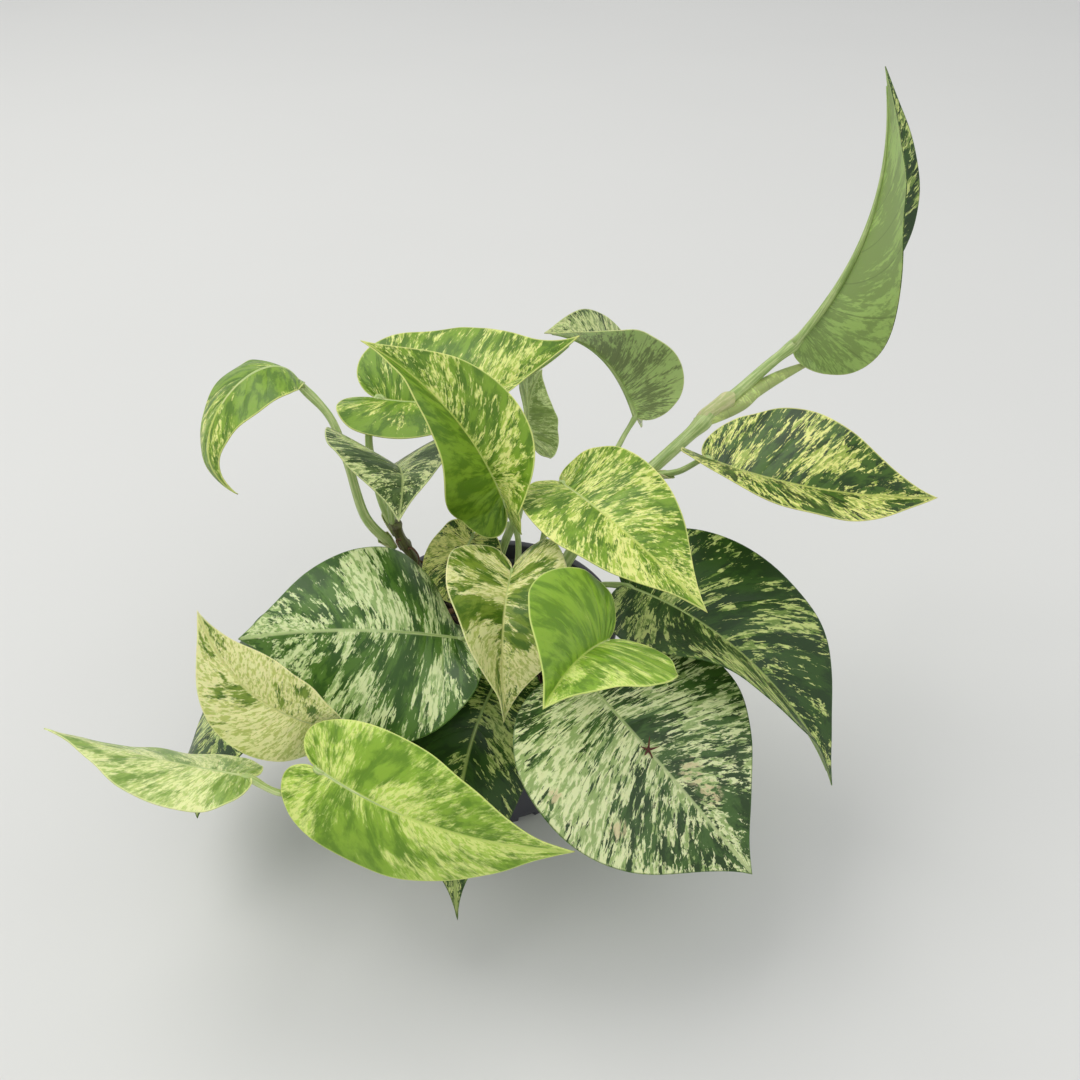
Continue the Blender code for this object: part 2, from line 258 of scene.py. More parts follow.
def sleeve(grid: Array) -> tuple[Array, Faces]:
    """A grid closed round its columns and drawn to a pole at each end.

    Args:
        grid: places, shape (rows, columns, 3), whose columns turn from sideways to upward.

    Returns:
        The vertices, the grid's first and then the two poles, and the faces.
    """
    rows, columns = grid.shape[:2]
    points = np.vstack((grid.reshape(-1, 3), grid[0].mean(axis=0), grid[-1].mean(axis=0)))
    before = np.arange(columns)
    after = (before + 1) % columns
    last = (rows - 1) * columns
    faces = lattice(rows, columns, True).tolist()
    faces += fan(rows * columns, before, after)
    return points, faces + fan(rows * columns + 1, last + after, last + before)


def joined(parts: Sequence[tuple[Array, Faces]]) -> tuple[Array, Faces]:
    """Makes several sets of vertices and faces one.

    Args:
        parts: the vertices and the faces of each.

    Returns:
        All the vertices, and the faces with their numbers moved up.
    """
    offsets = np.append(0, np.cumsum([len(points) for points, _ in parts]))
    faces = [[corner + int(offset) for corner in face]
             for offset, (_, part) in zip(offsets, parts) for face in part]
    return np.vstack([points for points, _ in parts]), faces


# ---- finishes -----------------------------------------------------------------------------------


def colour(shade: Sequence[float]) -> tuple[float, ...]:
    """A screen colour as linear light.

    Up to 0.04045 a share is divided by 12.92; above it is ((share + 0.055) / 1.055)^2.4.

    Args:
        shade: red, green and blue, from 0 to 255.

    Returns:
        The linear red, green and blue, and a full alpha.
    """
    share = np.array(shade) / 255
    linear = np.where(share <= 0.04045, share / 12.92, ((share + 0.055) / 1.055) ** 2.4)
    return (*linear.tolist(), 1.0)


class Wiring:
    """One material and short ways to add and link its nodes."""

    def __init__(self, name: str, rough: float = 0.5) -> None:
        """Starts a Principled material.

        Args:
            name: the material's name.
            rough: its roughness.
        """
        self.material = bpy.data.materials.new(name)
        self.material.use_nodes = True
        self.nodes = self.material.node_tree.nodes
        self.shader = self.nodes["Principled BSDF"]
        self.shader.inputs["Roughness"].default_value = rough

    def feed(self, socket: Socket, value: object) -> None:
        """Links a socket to another, or sets its own value.

        Args:
            socket: the input.
            value: another node's output, or a plain value.
        """
        if isinstance(value, bpy.types.NodeSocket):
            self.material.node_tree.links.new(value, socket)
        else:
            socket.default_value = value

    def set(self, **values: object) -> None:
        """Feeds the shader's sockets, named with underscores for spaces."""
        for name, value in values.items():
            self.feed(self.shader.inputs[name.replace("_", " ")], value)

    def node(self, kind: str, *values: object, **settings: object) -> bpy.types.Node:
        """Adds a node.

        Args:
            kind: its type.
            values: its first inputs in order, where None leaves an input alone.
            settings: its own settings.

        Returns:
            The node.
        """
        made = self.nodes.new(kind)
        for name, value in settings.items():
            setattr(made, name, value)
        for socket, value in zip(made.inputs, values):
            if value is not None:
                self.feed(socket, value)
        return made

    def math(self, operation: str, *values: object) -> Socket:
        """The result of one arithmetic step."""
        return self.node("ShaderNodeMath", *values, operation=operation).outputs[0]

    def trait(self, name: str) -> tuple[Socket, Socket, Socket]:
        """Reads one of the piece's own attributes.

        Args:
            name: the attribute's name.

        Returns:
            Its three numbers.
        """
        read = self.node("ShaderNodeAttribute", attribute_name=name)
        split = self.node("ShaderNodeSeparateXYZ", read.outputs["Vector"])
        return tuple(split.outputs)

    def vector(self, *values: object) -> Socket:
        """Three numbers as one vector."""
        return self.node("ShaderNodeCombineXYZ", *values).outputs[0]

    def here(self) -> Socket:
        """The point's place on the object."""
        return self.node("ShaderNodeTexCoord").outputs["Object"]

    def noise(self, vector: Socket, scale: float, detail: float = 3, rough: float = 0.55,
              bend: float = 0.0) -> Socket:
        """Adds fractal noise.

        Args:
            vector: where the noise is read.
            scale: cells for each unit of the vector.
            detail: its octaves.
            rough: the strength of each octave as a share of the one before.
            bend: how far its cells are warped.

        Returns:
            Its value, between 0 and 1.
        """
        made = self.node("ShaderNodeTexNoise", vector)
        for name, value in (("Scale", scale), ("Detail", detail), ("Roughness", rough),
                            ("Distortion", bend)):
            made.inputs[name].default_value = value
        return made.outputs[0]

    def step(self, value: Socket, low: object, high: object, start: float = 0.0,
             end: float = 1.0) -> Socket:
        """Adds a smooth step.

        Args:
            value: what is stepped.
            low: the value where the step starts.
            high: the value where it ends.
            start: the result up to low.
            end: the result from high.

        Returns:
            The result.
        """
        made = self.node("ShaderNodeMapRange", value, low, high, start, end)
        made.interpolation_type = "SMOOTHSTEP"
        return made.outputs[0]

    def mix(self, share: object, first: object, second: object) -> Socket:
        """Blends two colours.

        Args:
            share: how much of the second there is.
            first: the colour at 0.
            second: the colour at 1.

        Returns:
            The blend.
        """
        made = self.node("ShaderNodeMix", data_type="RGBA")
        self.feed(made.inputs[MIX_SHARE], share)
        self.feed(made.inputs[MIX_FIRST], first)
        self.feed(made.inputs[MIX_SECOND], second)
        return made.outputs[MIX_COLOUR]

    def bump(self, height: Socket, depth: float, strength: float = 1.0) -> None:
        """Puts relief on the shader's normal.

        Args:
            height: the relief.
            depth: what a height of 1 stands for, in metres.
            strength: how much of it is felt.
        """
        made = self.node("ShaderNodeBump")
        made.inputs["Strength"].default_value = strength
        made.inputs["Distance"].default_value = depth
        self.feed(made.inputs["Height"], height)
        self.set(Normal=made.outputs[0])


TISSUE = {"Subsurface_Weight": 0.22, "Subsurface_Radius": (0.5, 1.0, 0.2),
          "Subsurface_Scale": 0.0012}


@dataclass(frozen=True)
class LeafFinish:
    """A marbled blade: green and pale tissue in streaks that follow the side veins.

    Args:
        name: the finish's name.
        deep: the darkest green.
        mid: the lighter green beside it.
        pale: pale green tissue.
        cream: the palest tissue.
        under: the underside's green.
        gloss: the upper side's roughness.
        soft: half the step in paleness between green and pale tissue.
        sectors: how much of the pattern is in broad sectors; the rest is streaks and flecks.
        blotch: how much paler than its green the underside's pale tissue is.
        pale_rim: whether the margin is cream, as on young leaves, or green.
    """

    name: str
    deep: Triple
    mid: Triple
    pale: Triple
    cream: Triple
    under: Triple
    gloss: float = 0.40
    soft: float = 0.012
    sectors: float = 0.36
    blotch: float = 0.15
    pale_rim: bool = True

    DRY = (208, 194, 148)
    VEINS = 33.0
    LAYER = 3.7
    SPLIT = 0.515
    # Each layer's cells along and over, octaves, bend and shift.
    SECTOR = (1.3, 7.0, 2, 0.3, 0.0)
    STREAK = (3.2, 56.0, 4, 0.5, 11.0)
    FLECK = (9.5, 150.0, 4, 0.6, 23.0)
    SHADE = (2.6, 26.0, 5, 0.4, 41.0)
    GRAIN = (8.0, 90.0, 4, 0.4, 57.0)
    STREAK_SHARE = 0.56
    FLECK_SHARE = 0.44
    UPPER_CELLS = 900.0
    LOWER_CELLS = 1200.0
    LOWER_ROUGH = 0.52

    def streaks(self, wiring: Wiring, along: float, over: float, detail: float,
                bend: float, shift: float) -> Socket:
        """Noise drawn out along the side veins, cut at the midrib.

        Args:
            wiring: the material to add to.
            along: cells from midrib to margin.
            over: cells from notch to tip.
            detail: the noise's octaves.
            bend: how far the cells are warped.
            shift: an offset that makes this layer unlike the others.

        Returns:
            The noise's value.
        """
        across, rise, seed = wiring.trait("vein")
        layer = wiring.math("MULTIPLY_ADD", wiring.math("SIGN", across), self.LAYER, seed)
        where = wiring.vector(
            wiring.math("MULTIPLY", wiring.math("ABSOLUTE", across), along),
            wiring.math("MULTIPLY", rise, over),
            wiring.math("ADD", layer, shift))
        return wiring.noise(where, 1.0, detail, 0.62, bend)

    def marbling(self, wiring: Wiring) -> Socket:
        """How pale the tissue is.

        Broad sectors take their own weight, streaks 0.56 and flecks 0.44 of the rest, and each
        half's lean is added.

        Args:
            wiring: the material to add to.

        Returns:
            The paleness, about 0.5 on average.
        """
        rest = 1 - self.sectors
        total = wiring.math("MULTIPLY", self.streaks(wiring, *self.FLECK), self.FLECK_SHARE * rest)
        for layer, weight in ((self.STREAK, self.STREAK_SHARE * rest), (self.SECTOR, self.sectors)):
            total = wiring.math("MULTIPLY_ADD", self.streaks(wiring, *layer), weight, total)
        return wiring.math("ADD", total, wiring.trait("lamina")[2])

    def vein_wave(self, wiring: Wiring) -> Socket:
        """The size of the sine of a row's share times pi and the side veins: 0 on each vein."""
        turned = wiring.math("MULTIPLY", wiring.trait("vein")[1], self.VEINS)
        return wiring.math("ABSOLUTE", wiring.math("SINE", turned))

    @cache
    def sides(self) -> tuple[Material, Material]:
        """The materials of the upper and the lower side, made once."""
        return self.upper(), self.lower()

    def upper(self) -> Material:
        """Makes the glossy upper side.

        Green and pale tissue are parted where the marbling crosses its middle. A pale midrib, the
        margin and dried patches are laid over them.

        Returns:
            The material.
        """
        wiring = Wiring(f"{self.name}_upper", self.gloss)
        rib, margin, _ = wiring.trait("lamina")
        marble = self.marbling(wiring)
        shade = self.streaks(wiring, *self.SHADE)
        grain = self.streaks(wiring, *self.GRAIN)
        blur = 0.06 + self.soft
        green = wiring.mix(wiring.step(shade, 0.5 - blur, 0.5 + blur), colour(self.deep),
                           colour(self.mid))
        light = wiring.mix(wiring.step(grain, 0.42, 0.54), colour(self.pale), colour(self.cream))
        parting = wiring.step(marble, self.SPLIT - self.soft, self.SPLIT + self.soft)
        tissue = wiring.mix(parting, green, light)
        vein_tint = colour(0.5 * np.array(self.pale) + 0.5 * np.array(self.cream))
        ribbed = wiring.mix(wiring.step(rib, 0.3, 1.1, 0.85, 0.0), tissue, vein_tint)
        rim = self.cream if self.pale_rim else self.mid
        edged = wiring.mix(wiring.step(margin, 0.15, 0.7, 0.75, 0.0), ribbed, colour(rim))
        dried = wiring.math("MULTIPLY", wiring.trait("blemish")[0], wiring.step(grain, 0.40, 0.60))
        wiring.set(Base_Color=wiring.mix(wiring.step(dried, 0.12, 0.55, 0.0, 0.85), edged,
                                         colour(self.DRY)))
        cells = wiring.noise(wiring.here(), self.UPPER_CELLS, 2)
        relief = wiring.math("MULTIPLY_ADD", cells, 0.25, self.side_veins(wiring))
        wiring.bump(relief, 0.35 * MM, 0.8)
        wiring.set(Coat_Weight=0.07, Coat_Roughness=0.25, Specular_IOR_Level=0.32, **TISSUE,
                   Roughness=wiring.step(cells, 0.2, 0.8, self.gloss - 0.05, self.gloss + 0.08))
        return wiring.material

    def side_veins(self, wiring: Wiring) -> Socket:
        """Relief that dips along each side vein and fades out at the margin.

        Args:
            wiring: the material to add to.

        Returns:
            The vein wave to the power 0.35, times a smooth step over the outer half.
        """
        outward = wiring.math("ABSOLUTE", wiring.trait("vein")[0])
        return wiring.math("MULTIPLY", wiring.math("POWER", self.vein_wave(wiring), 0.35),
                           wiring.step(outward, 1.0, 0.5))

    def lower(self) -> Material:
        """Makes the duller, paler underside with its side veins and midrib showing.

        Returns:
            The material.
        """
        wiring = Wiring(f"{self.name}_lower", self.LOWER_ROUGH)
        rib, margin, _ = wiring.trait("lamina")
        marble = self.marbling(wiring)
        under = np.array(self.under)
        soft = wiring.mix(wiring.step(marble, 0.49, 0.56),
                          colour(under * (1 - 0.35 * self.blotch)),
                          colour(np.minimum(under * (1 + self.blotch), 235)))
        wave = self.vein_wave(wiring)
        veined = wiring.mix(wiring.step(wave, 0.0, 0.10, 0.55, 0.0), soft, colour(under * 0.72))
        ribbed = wiring.mix(wiring.step(rib, 0.5, 1.6, 0.7, 0.0), veined,
                            colour(np.minimum(under * 1.18, 245)))
        edged = wiring.mix(wiring.step(margin, 0.15, 0.6, 0.6, 0.0), ribbed, colour(self.cream))
        wiring.set(Base_Color=edged, **TISSUE)
        cells = wiring.noise(wiring.here(), self.LOWER_CELLS, 2)
        wiring.bump(wiring.math("MULTIPLY_ADD", cells, 0.4, wave), 0.2 * MM, 0.5)
        return wiring.material


class Coat(Enum):
    """The leaf finishes, from the youngest and palest to the oldest and darkest."""

    LIME = LeafFinish("lime", (84, 120, 22), (122, 156, 42), (166, 188, 74), (224, 228, 138),
                      (146, 172, 82), 0.42, 0.028)
    FRESH = LeafFinish("fresh", (98, 136, 28), (134, 170, 48), (174, 202, 82), (214, 226, 130),
                       (148, 174, 84), 0.42, 0.05, 0.55)
    CREAM = LeafFinish("cream", (78, 112, 22), (126, 150, 50), (190, 198, 108), (236, 234, 168),
                       (172, 188, 112), 0.44, 0.024, 0.55)
    MILK = LeafFinish("milk", (118, 148, 64), (148, 174, 86), (186, 202, 120), (226, 230, 164),
                      (174, 190, 118), 0.42, 0.05, 0.5)
    BUTTER = LeafFinish("butter", (36, 62, 16), (66, 98, 28), (152, 170, 74), (224, 224, 136),
                        (158, 176, 106), 0.40)
    SAGE = LeafFinish("sage", (38, 64, 20), (66, 98, 40), (148, 170, 102), (218, 224, 170),
                      (138, 162, 98), 0.38, pale_rim=False)
    FERN = LeafFinish("fern", (50, 84, 24), (80, 116, 40), (142, 168, 98), (210, 220, 164),
                      (138, 162, 98), 0.38, sectors=0.45, pale_rim=False)
    FOREST = LeafFinish("forest", (30, 58, 12), (46, 78, 20), (112, 138, 60), (196, 206, 126),
                        (136, 160, 88), 0.38, pale_rim=False)
    OLIVE = LeafFinish("olive", (52, 74, 30), (80, 102, 50), (138, 156, 94), (200, 208, 144),
                       (146, 162, 104), 0.44, blotch=0.30)
    MIST = LeafFinish("mist", (108, 130, 62), (132, 152, 82), (158, 176, 108), (196, 208, 144),
                      (154, 172, 108), 0.46, 0.05)


@dataclass(frozen=True)
class StalkFinish:
    """Green stalk tissue with lengthwise streaks.

    Args:
        name: the finish's name.
        base: the main colour.
        streak: the streaks' colour.
        rough: the roughness.
    """

    name: str
    base: Triple
    streak: Triple
    rough: float = 0.42

    def drawn(self, wiring: Wiring, around: float, along: float, detail: float) -> Socket:
        """Noise drawn out along the stalk.

        Args:
            wiring: the material to add to.
            around: cells for each radian of turn.
            along: cells for each metre of travel.
            detail: the noise's octaves.

        Returns:
            The noise's value.
        """
        turn, travel, seed = wiring.trait("strand")
        where = wiring.vector(wiring.math("MULTIPLY", turn, around),
                              wiring.math("MULTIPLY", travel, along), seed)
        return wiring.noise(where, 1.0, detail)

    @cache
    def material(self) -> Material:
        """Makes the tissue once: streaks along the stalk, a light mottle and fine ridges.

        Returns:
            The material.
        """
        wiring = Wiring(self.name, self.rough)
        bands = self.drawn(wiring, 3.2, 60.0, 4)
        ridges = self.drawn(wiring, 9.0, 40.0, 2)
        mottled = wiring.noise(wiring.here(), 260.0, 4)
        blend = wiring.math("MULTIPLY_ADD", mottled, 0.2, wiring.math("MULTIPLY", bands, 0.8))
        wiring.set(Base_Color=wiring.mix(wiring.step(blend, 0.42, 0.60), colour(self.base),
                                         colour(self.streak)),
                   Subsurface_Weight=0.15, Subsurface_Radius=(0.5, 1.0, 0.25),
                   Subsurface_Scale=0.002, Coat_Weight=0.12, Coat_Roughness=0.3)
        wiring.bump(wiring.math("MULTIPLY_ADD", mottled, 0.4, ridges), 0.25 * MM, 0.7)
        return wiring.material


class Stalk(Enum):
    """The stalk finishes."""

    GREEN = StalkFinish("stalk_green", (142, 168, 92), (184, 200, 132))
    LIGHT = StalkFinish("stalk_light", (162, 188, 108), (204, 216, 150))
    SHEATH = StalkFinish("sheath_papery", (172, 182, 118), (202, 200, 150), 0.6)
    OLD = StalkFinish("vine_old", (86, 82, 54), (118, 122, 74), 0.55)
    FLAKE = StalkFinish("dry_flake", (74, 30, 22), (112, 54, 36), 0.7)
    ROOT = StalkFinish("aerial_root", (74, 48, 30), (122, 88, 56), 0.75)


@dataclass(frozen=True)
class PotFinish:
    """Charcoal moulded plastic with a fine satin grain and faint scuffs.

    Args:
        shade: the plastic's colour.
        worn: the scuffs' colour.
    """

    shade: Triple = (58, 58, 66)
    worn: Triple = (82, 82, 90)

    def material(self) -> Material:
        """Makes the plastic, paler and duller in clouds.

        Returns:
            The material.
        """
        wiring = Wiring("pot_plastic", 0.45)
        place = wiring.here()
        grain = wiring.noise(place, 1600.0, 2)
        cloud = wiring.noise(place, 38.0, 5, 0.6)
        wiring.set(Base_Color=wiring.mix(wiring.step(cloud, 0.42, 0.75, 0.0, 0.5),
                                         colour(self.shade), colour(self.worn)),
                   Roughness=wiring.step(cloud, 0.3, 0.7, 0.36, 0.52))
        wiring.bump(grain, 0.1 * MM, 0.5)
        return wiring.material


@dataclass(frozen=True)
class SoilFinish:
    """Moist peat and bark, tinted piece by piece.

    Args:
        name: the finish's name.
        dark: the darkest colour.
        light: the lightest colour.
        rough: the roughness.
    """

    name: str
    dark: Triple
    light: Triple
    rough: float = 0.85

    def material(self) -> Material:
        """Makes the crumbly surface, whose shade is part the piece's tint and part a mottle.

        Returns:
            The material.
        """
        wiring = Wiring(self.name, self.rough)
        place = wiring.here()
        mottled = wiring.noise(place, 420.0, 5, 0.65)
        blend = wiring.math("MULTIPLY_ADD", wiring.trait("tint")[0], 0.6,
                            wiring.math("MULTIPLY", mottled, 0.5))
        wiring.set(Base_Color=wiring.mix(wiring.step(blend, 0.2, 0.85), colour(self.dark),
                                         colour(self.light)),
                   Roughness=wiring.step(mottled, 0.3, 0.7, self.rough - 0.15, self.rough + 0.1))
        wiring.bump(wiring.noise(place, 1500.0, 4), 0.5 * MM, 0.8)
        return wiring.material


@dataclass(frozen=True)
class FloorFinish:
    """A plain pale tabletop.

    Args:
        shade: its colour.
    """

    shade: Triple = (213, 213, 210)

    def material(self) -> Material:
        """Makes a matt sheet with a barely seen mottle.

        Returns:
            The material.
        """
        wiring = Wiring("floor", 0.6)
        cloud = wiring.noise(wiring.here(), 3.0, 3)
        low = tuple(np.array(self.shade) * 0.985)
        wiring.set(Base_Color=wiring.mix(cloud, colour(low), colour(self.shade)))
        wiring.bump(wiring.noise(wiring.here(), 500.0, 2), 0.1 * MM, 0.2)
        return wiring.material


# ---- leaves -------------------------------------------------------------------------------------


@dataclass
class Leaf:
    """A heart-shaped blade on its stalk.

    Args:
        name: the leaf's name, as in the frame's nodes.
        spine: places the midrib passes through, from notch to tip.
        face: the way the blade faces at its notch.
        face_tip: the way it faces at its tip.
        half_width: half the blade's widest breadth.
        fold: how far the left and right halves rise from the midrib.
        curl: how far each half bends down on its way to the margin.
        petiole: places the stalk passes through before the notch.
        lobe: how far the back lobes reach behind the notch, as a share of the length.
        coat: the blade's finish.
        lean: what is added to the paleness of the left and right halves.
        widest: the widest place, as a share of the length.
        fold_tip: the fold from halfway to the tip, where it isn't as at the notch.
        ripple: the height of the margin's waves.
        stalk_radius: the stalk's radius at its foot.
        sheath: the length of the papery sheath at the stalk's foot.
        seed: a number that makes its marbling its own.
        drip: how far the breadth is drawn in near the tip.
        spots: dried patches, each by its across, its t and its size in millimetres.
    """

    name: str
    spine: Route
    face: Triple
    face_tip: Triple
    half_width: float
    fold: Pair
    curl: Pair
    petiole: Route
    lobe: Pair
    coat: Coat
    lean: Pair = (0.0, 0.0)
    widest: float = 0.30
    fold_tip: Pair | None = None
    ripple: float = 0.5
    stalk_radius: float = 1.8
    sheath: float = 0.0
    seed: float = 0.0
    drip: float = 0.15
    spots: tuple[tuple[float, float, float], ...] = ()

    SHOULDER = 0.33
    TIP_PULL = (0.30, 0.80)
    NOTCH_PULL = 0.10
    NOTCH_REACH = -1.25
    LOBE_REACH = -1.35
    REACH_SHIFT = 0.02
    DRIP_SPAN = (0.62, 0.97)
    FOOT_POWER = 2.4
    ROW_POWER = 1.25
    FOLD_SETTLED = 0.5
    LEAST_CURL = 0.01
    ROWS = 96
    HALF = np.concatenate(((0.014, 0.035, 0.065), np.linspace(0.11, 0.93, 20), (0.965, 0.985, 1.0)))
    THICKNESS = 0.5
    GROOVE_DEPTH = 0.2
    GROOVE_WIDTH = 1.1
    QUILT_DEPTH = 0.35
    QUILT_POWER = 0.6
    SIDE_VEINS = 10.5
    RIPPLES = (4.5, 7.3)
    HALF_SHIFT = 0.37
    SEED_STEP = 7.3
    RING = 20
    STALK_STEPS = 48
    STALK_FOOT = 5
    GROOVE = (0.30, 0.5)
    KNEE = (0.22, 0.90, 0.07)
    NARROWING = 0.36
    RIDGE_END = 0.94
    SHEATH_HALF_SPAN = 150
    SHEATH_COLUMNS = 17
    SHEATH_THICKNESS = 0.35
    YOUNG = (Coat.LIME, Coat.FRESH, Coat.CREAM, Coat.MILK)

    def outline(self, t: Array, right: Array) -> Array:
        """Half of the heart, from the notch (t = 0) round the lobe to the tip (t = 1).

        Two cubic arcs meet at the widest place, and the breadth is drawn in towards the tip by
        the drip share. The first number is the share of the half width, the second the share of
        the length.

        Args:
            t: places along the outline.
            right: whether each place is on the right half.

        Returns:
            Places with a last axis of two.
        """
        front = bezier(((1, self.widest), (1, self.widest + self.SHOULDER), self.TIP_PULL, (0, 1)),
                       np.clip(2 * t - 1, 0, 1))
        halves = []
        for lobe in self.lobe:
            back = bezier(((0, 0), (self.NOTCH_PULL, self.NOTCH_REACH * lobe - self.REACH_SHIFT),
                           (1, self.REACH_SHIFT + self.LOBE_REACH * lobe), (1, self.widest)),
                          np.clip(2 * t, 0, 1))
            halves.append(np.where((t <= 0.5)[..., None], back, front))
        edge = np.where(right[..., None], halves[1], halves[0])
        edge[..., 0] *= 1 - self.drip * smoothstep(*self.DRIP_SPAN, edge[..., 1])
        return edge

    def midrib(self, share: Array) -> tuple[Array, Array, Array, Array]:
        """The midrib's place and its three directions, by share of its length.

        The line is the polynomial through the spine's places, and goes on straight past its ends.
        The facing turns evenly from notch to tip.

        Args:
            share: shares of the chord length, of any shape.

        Returns:
            Place, forward, sideways and upward, in millimetres.
        """
        points = np.array(self.spine, float)
        chords = np.linalg.norm(np.diff(points, axis=0), axis=1)
        knots = np.append(0, np.cumsum(chords)) / chords.sum()
        held = np.clip(share, 0, 1)
        fits = [np.polyfit(knots, points[:, axis], len(points) - 1) for axis in range(3)]
        place = np.stack([np.polyval(fit, held) for fit in fits], axis=-1)
        rate = np.stack([np.polyval(np.polyder(fit), held) for fit in fits], axis=-1)
        forward = unit(rate)
        turn = held[..., None]
        facing = (1 - turn) * unit(np.array(self.face, float))
        facing = facing + turn * unit(np.array(self.face_tip, float))
        sideways = unit(np.cross(forward, facing))
        place = place + rate * (share - held)[..., None]
        return place, forward, sideways, np.cross(sideways, forward)

    def surface(self, across: Array, t: Array) -> Array:
        """The blade's middle surface in millimetres, where across runs from -1 to 1.

        A row leaves the midrib at the share t^2.4 and swings forward to the outline as a side vein
        does. A half rises at its fold angle f, which passes smoothly from fold to fold_tip over the
        first half of the length, and bends evenly by its curl angle c. After an arc of share out,
        the reach is w(sin f - sin(f - c out)) / c and the rise w(cos(f - c out) - cos f) / c.

        Args:
            across: -1 at the left margin, 0 at the midrib, 1 at the right margin.
            t: 0 at the notch and 1 at the tip.

        Returns:
            Places, with one more axis than the arguments.
        """
        right = across >= 0
        edge = self.outline(t, right)
        side = np.abs(across)
        foot = t ** self.FOOT_POWER
        out = edge[..., 0] * side
        share = foot + (edge[..., 1] - foot) * side ** self.ROW_POWER
        place, _, sideways, upward = self.midrib(share)
        tip = smoothstep(0.0, self.FOLD_SETTLED, share)
        start, end = self.fold, self.fold_tip or self.fold
        fold = np.radians(np.where(right, start[1] + (end[1] - start[1]) * tip,
                                   start[0] + (end[0] - start[0]) * tip))
        curl = np.radians(np.where(right, self.curl[1], self.curl[0]) + self.LEAST_CURL)
        reach = self.half_width * (np.sin(fold) - np.sin(fold - curl * out)) / curl
        rise = self.half_width * (np.cos(fold - curl * out) - np.cos(fold)) / curl
        return place + (reach * np.sign(across))[..., None] * sideways + rise[..., None] * upward

    def relief(self, across: Array, t: Array, rib: Array) -> Array:
        """Height above the middle surface: quilting between side veins, a groove and margin waves.

        Quilting is the size of a sine of t to the power 0.6, fading to midrib and margin. The
        groove is a bell over the midrib that fades to the tip. The waves are two sines of t that
        grow with the cube of the distance out, and rest at notch and tip.

        Args:
            across: -1 at the left margin, 0 at the midrib, 1 at the right margin.
            t: 0 at the notch and 1 at the tip.
            rib: the distance from the midrib.

        Returns:
            The height in millimetres.
        """
        side = np.abs(across)
        rounded = np.abs(np.sin(np.pi * self.SIDE_VEINS * t)) ** self.QUILT_POWER
        quilt = (rounded - self.QUILT_POWER) * 4 * side * (1 - side)
        groove = bell(rib, self.GROOVE_WIDTH) * (1 - t)
        phase = self.seed + np.where(across > 0, self.HALF_SHIFT, 0.0)
        broad, narrow = self.RIPPLES
        wave = np.sin(TURN * (broad * t + phase)) + 0.5 * np.sin(TURN * (narrow * t + 2 * phase))
        return (self.QUILT_DEPTH * quilt - self.GROOVE_DEPTH * groove
                + self.ripple * wave * side ** 3 * np.sin(np.pi * t))

    def blade(self) -> None:
        """Builds the blade as a grid with single poles at notch and tip, and thickens it."""
        columns = np.concatenate((-self.HALF[::-1], (0.0,), self.HALF))
        rows = np.linspace(0, 1, self.ROWS + 2)[1:-1]
        t, across = np.meshgrid(rows, columns, indexing="ij")
        flat = self.surface(across, t)
        fine = np.linspace(0, 1, 5 * self.ROWS)
        rim = np.vstack([self.surface(side * np.ones_like(fine), fine) for side in (-1, 1)])
        rib = nearest(flat, self.midrib(np.linspace(0, 1, 3 * self.ROWS))[0])
        normal = unit(np.cross(np.gradient(flat, axis=1), np.gradient(flat, axis=0)))
        raised = flat + normal * self.relief(across, t, rib)[..., None]
        ends = self.surface(np.zeros(2), np.array((0.0, 1.0)))
        points = np.vstack((raised.reshape(-1, 3), ends)) * MM
        count, width = t.shape
        column = np.arange(width - 1)
        last = (count - 1) * width + column
        faces = lattice(count, width)[:, ::-1].tolist()
        faces += fan(count * width, column + 1, column) + fan(count * width + 1, last, last + 1)
        seed, mean_lean = self.seed * self.SEED_STEP, sum(self.lean) / 2
        lean = np.where(across < 0, self.lean[0], self.lean[1])
        traits = {
            "vein": self.trait((across, t, np.full_like(t, seed)), ((0, 0, seed), (0, 1, seed))),
            "lamina": self.trait((rib, nearest(flat, rim), lean), ((0, 0, mean_lean),) * 2),
            "blemish": self.trait((self.blemish(flat), 0 * t, 0 * t), ((0, 0, 0),) * 2)}
        Piece(f"blade_{self.name}", points, faces, self.coat.value.sides(), "leaf_marbled",
              (f"leaf_{self.name}",), traits).place(self.THICKNESS * MM)

    @staticmethod
    def trait(numbers: tuple[Array, Array, Array], ends: Route) -> Array:
        """An attribute's three numbers for each place of the grid and then for the two poles."""
        return np.vstack((np.stack(numbers, axis=-1).reshape(-1, 3), ends))

    def blemish(self, flat: Array) -> Array:
        """How dried the tissue is: the sum of a bell over each spot.

        Args:
            flat: the places of the blade's grid.

        Returns:
            The sum at each place.
        """
        dried = np.zeros(flat.shape[:2])
        for across, t, size in self.spots:
            middle = self.surface(np.array(across), np.array(t))
            dried += bell(np.linalg.norm(flat - middle, axis=-1), size)
        return dried

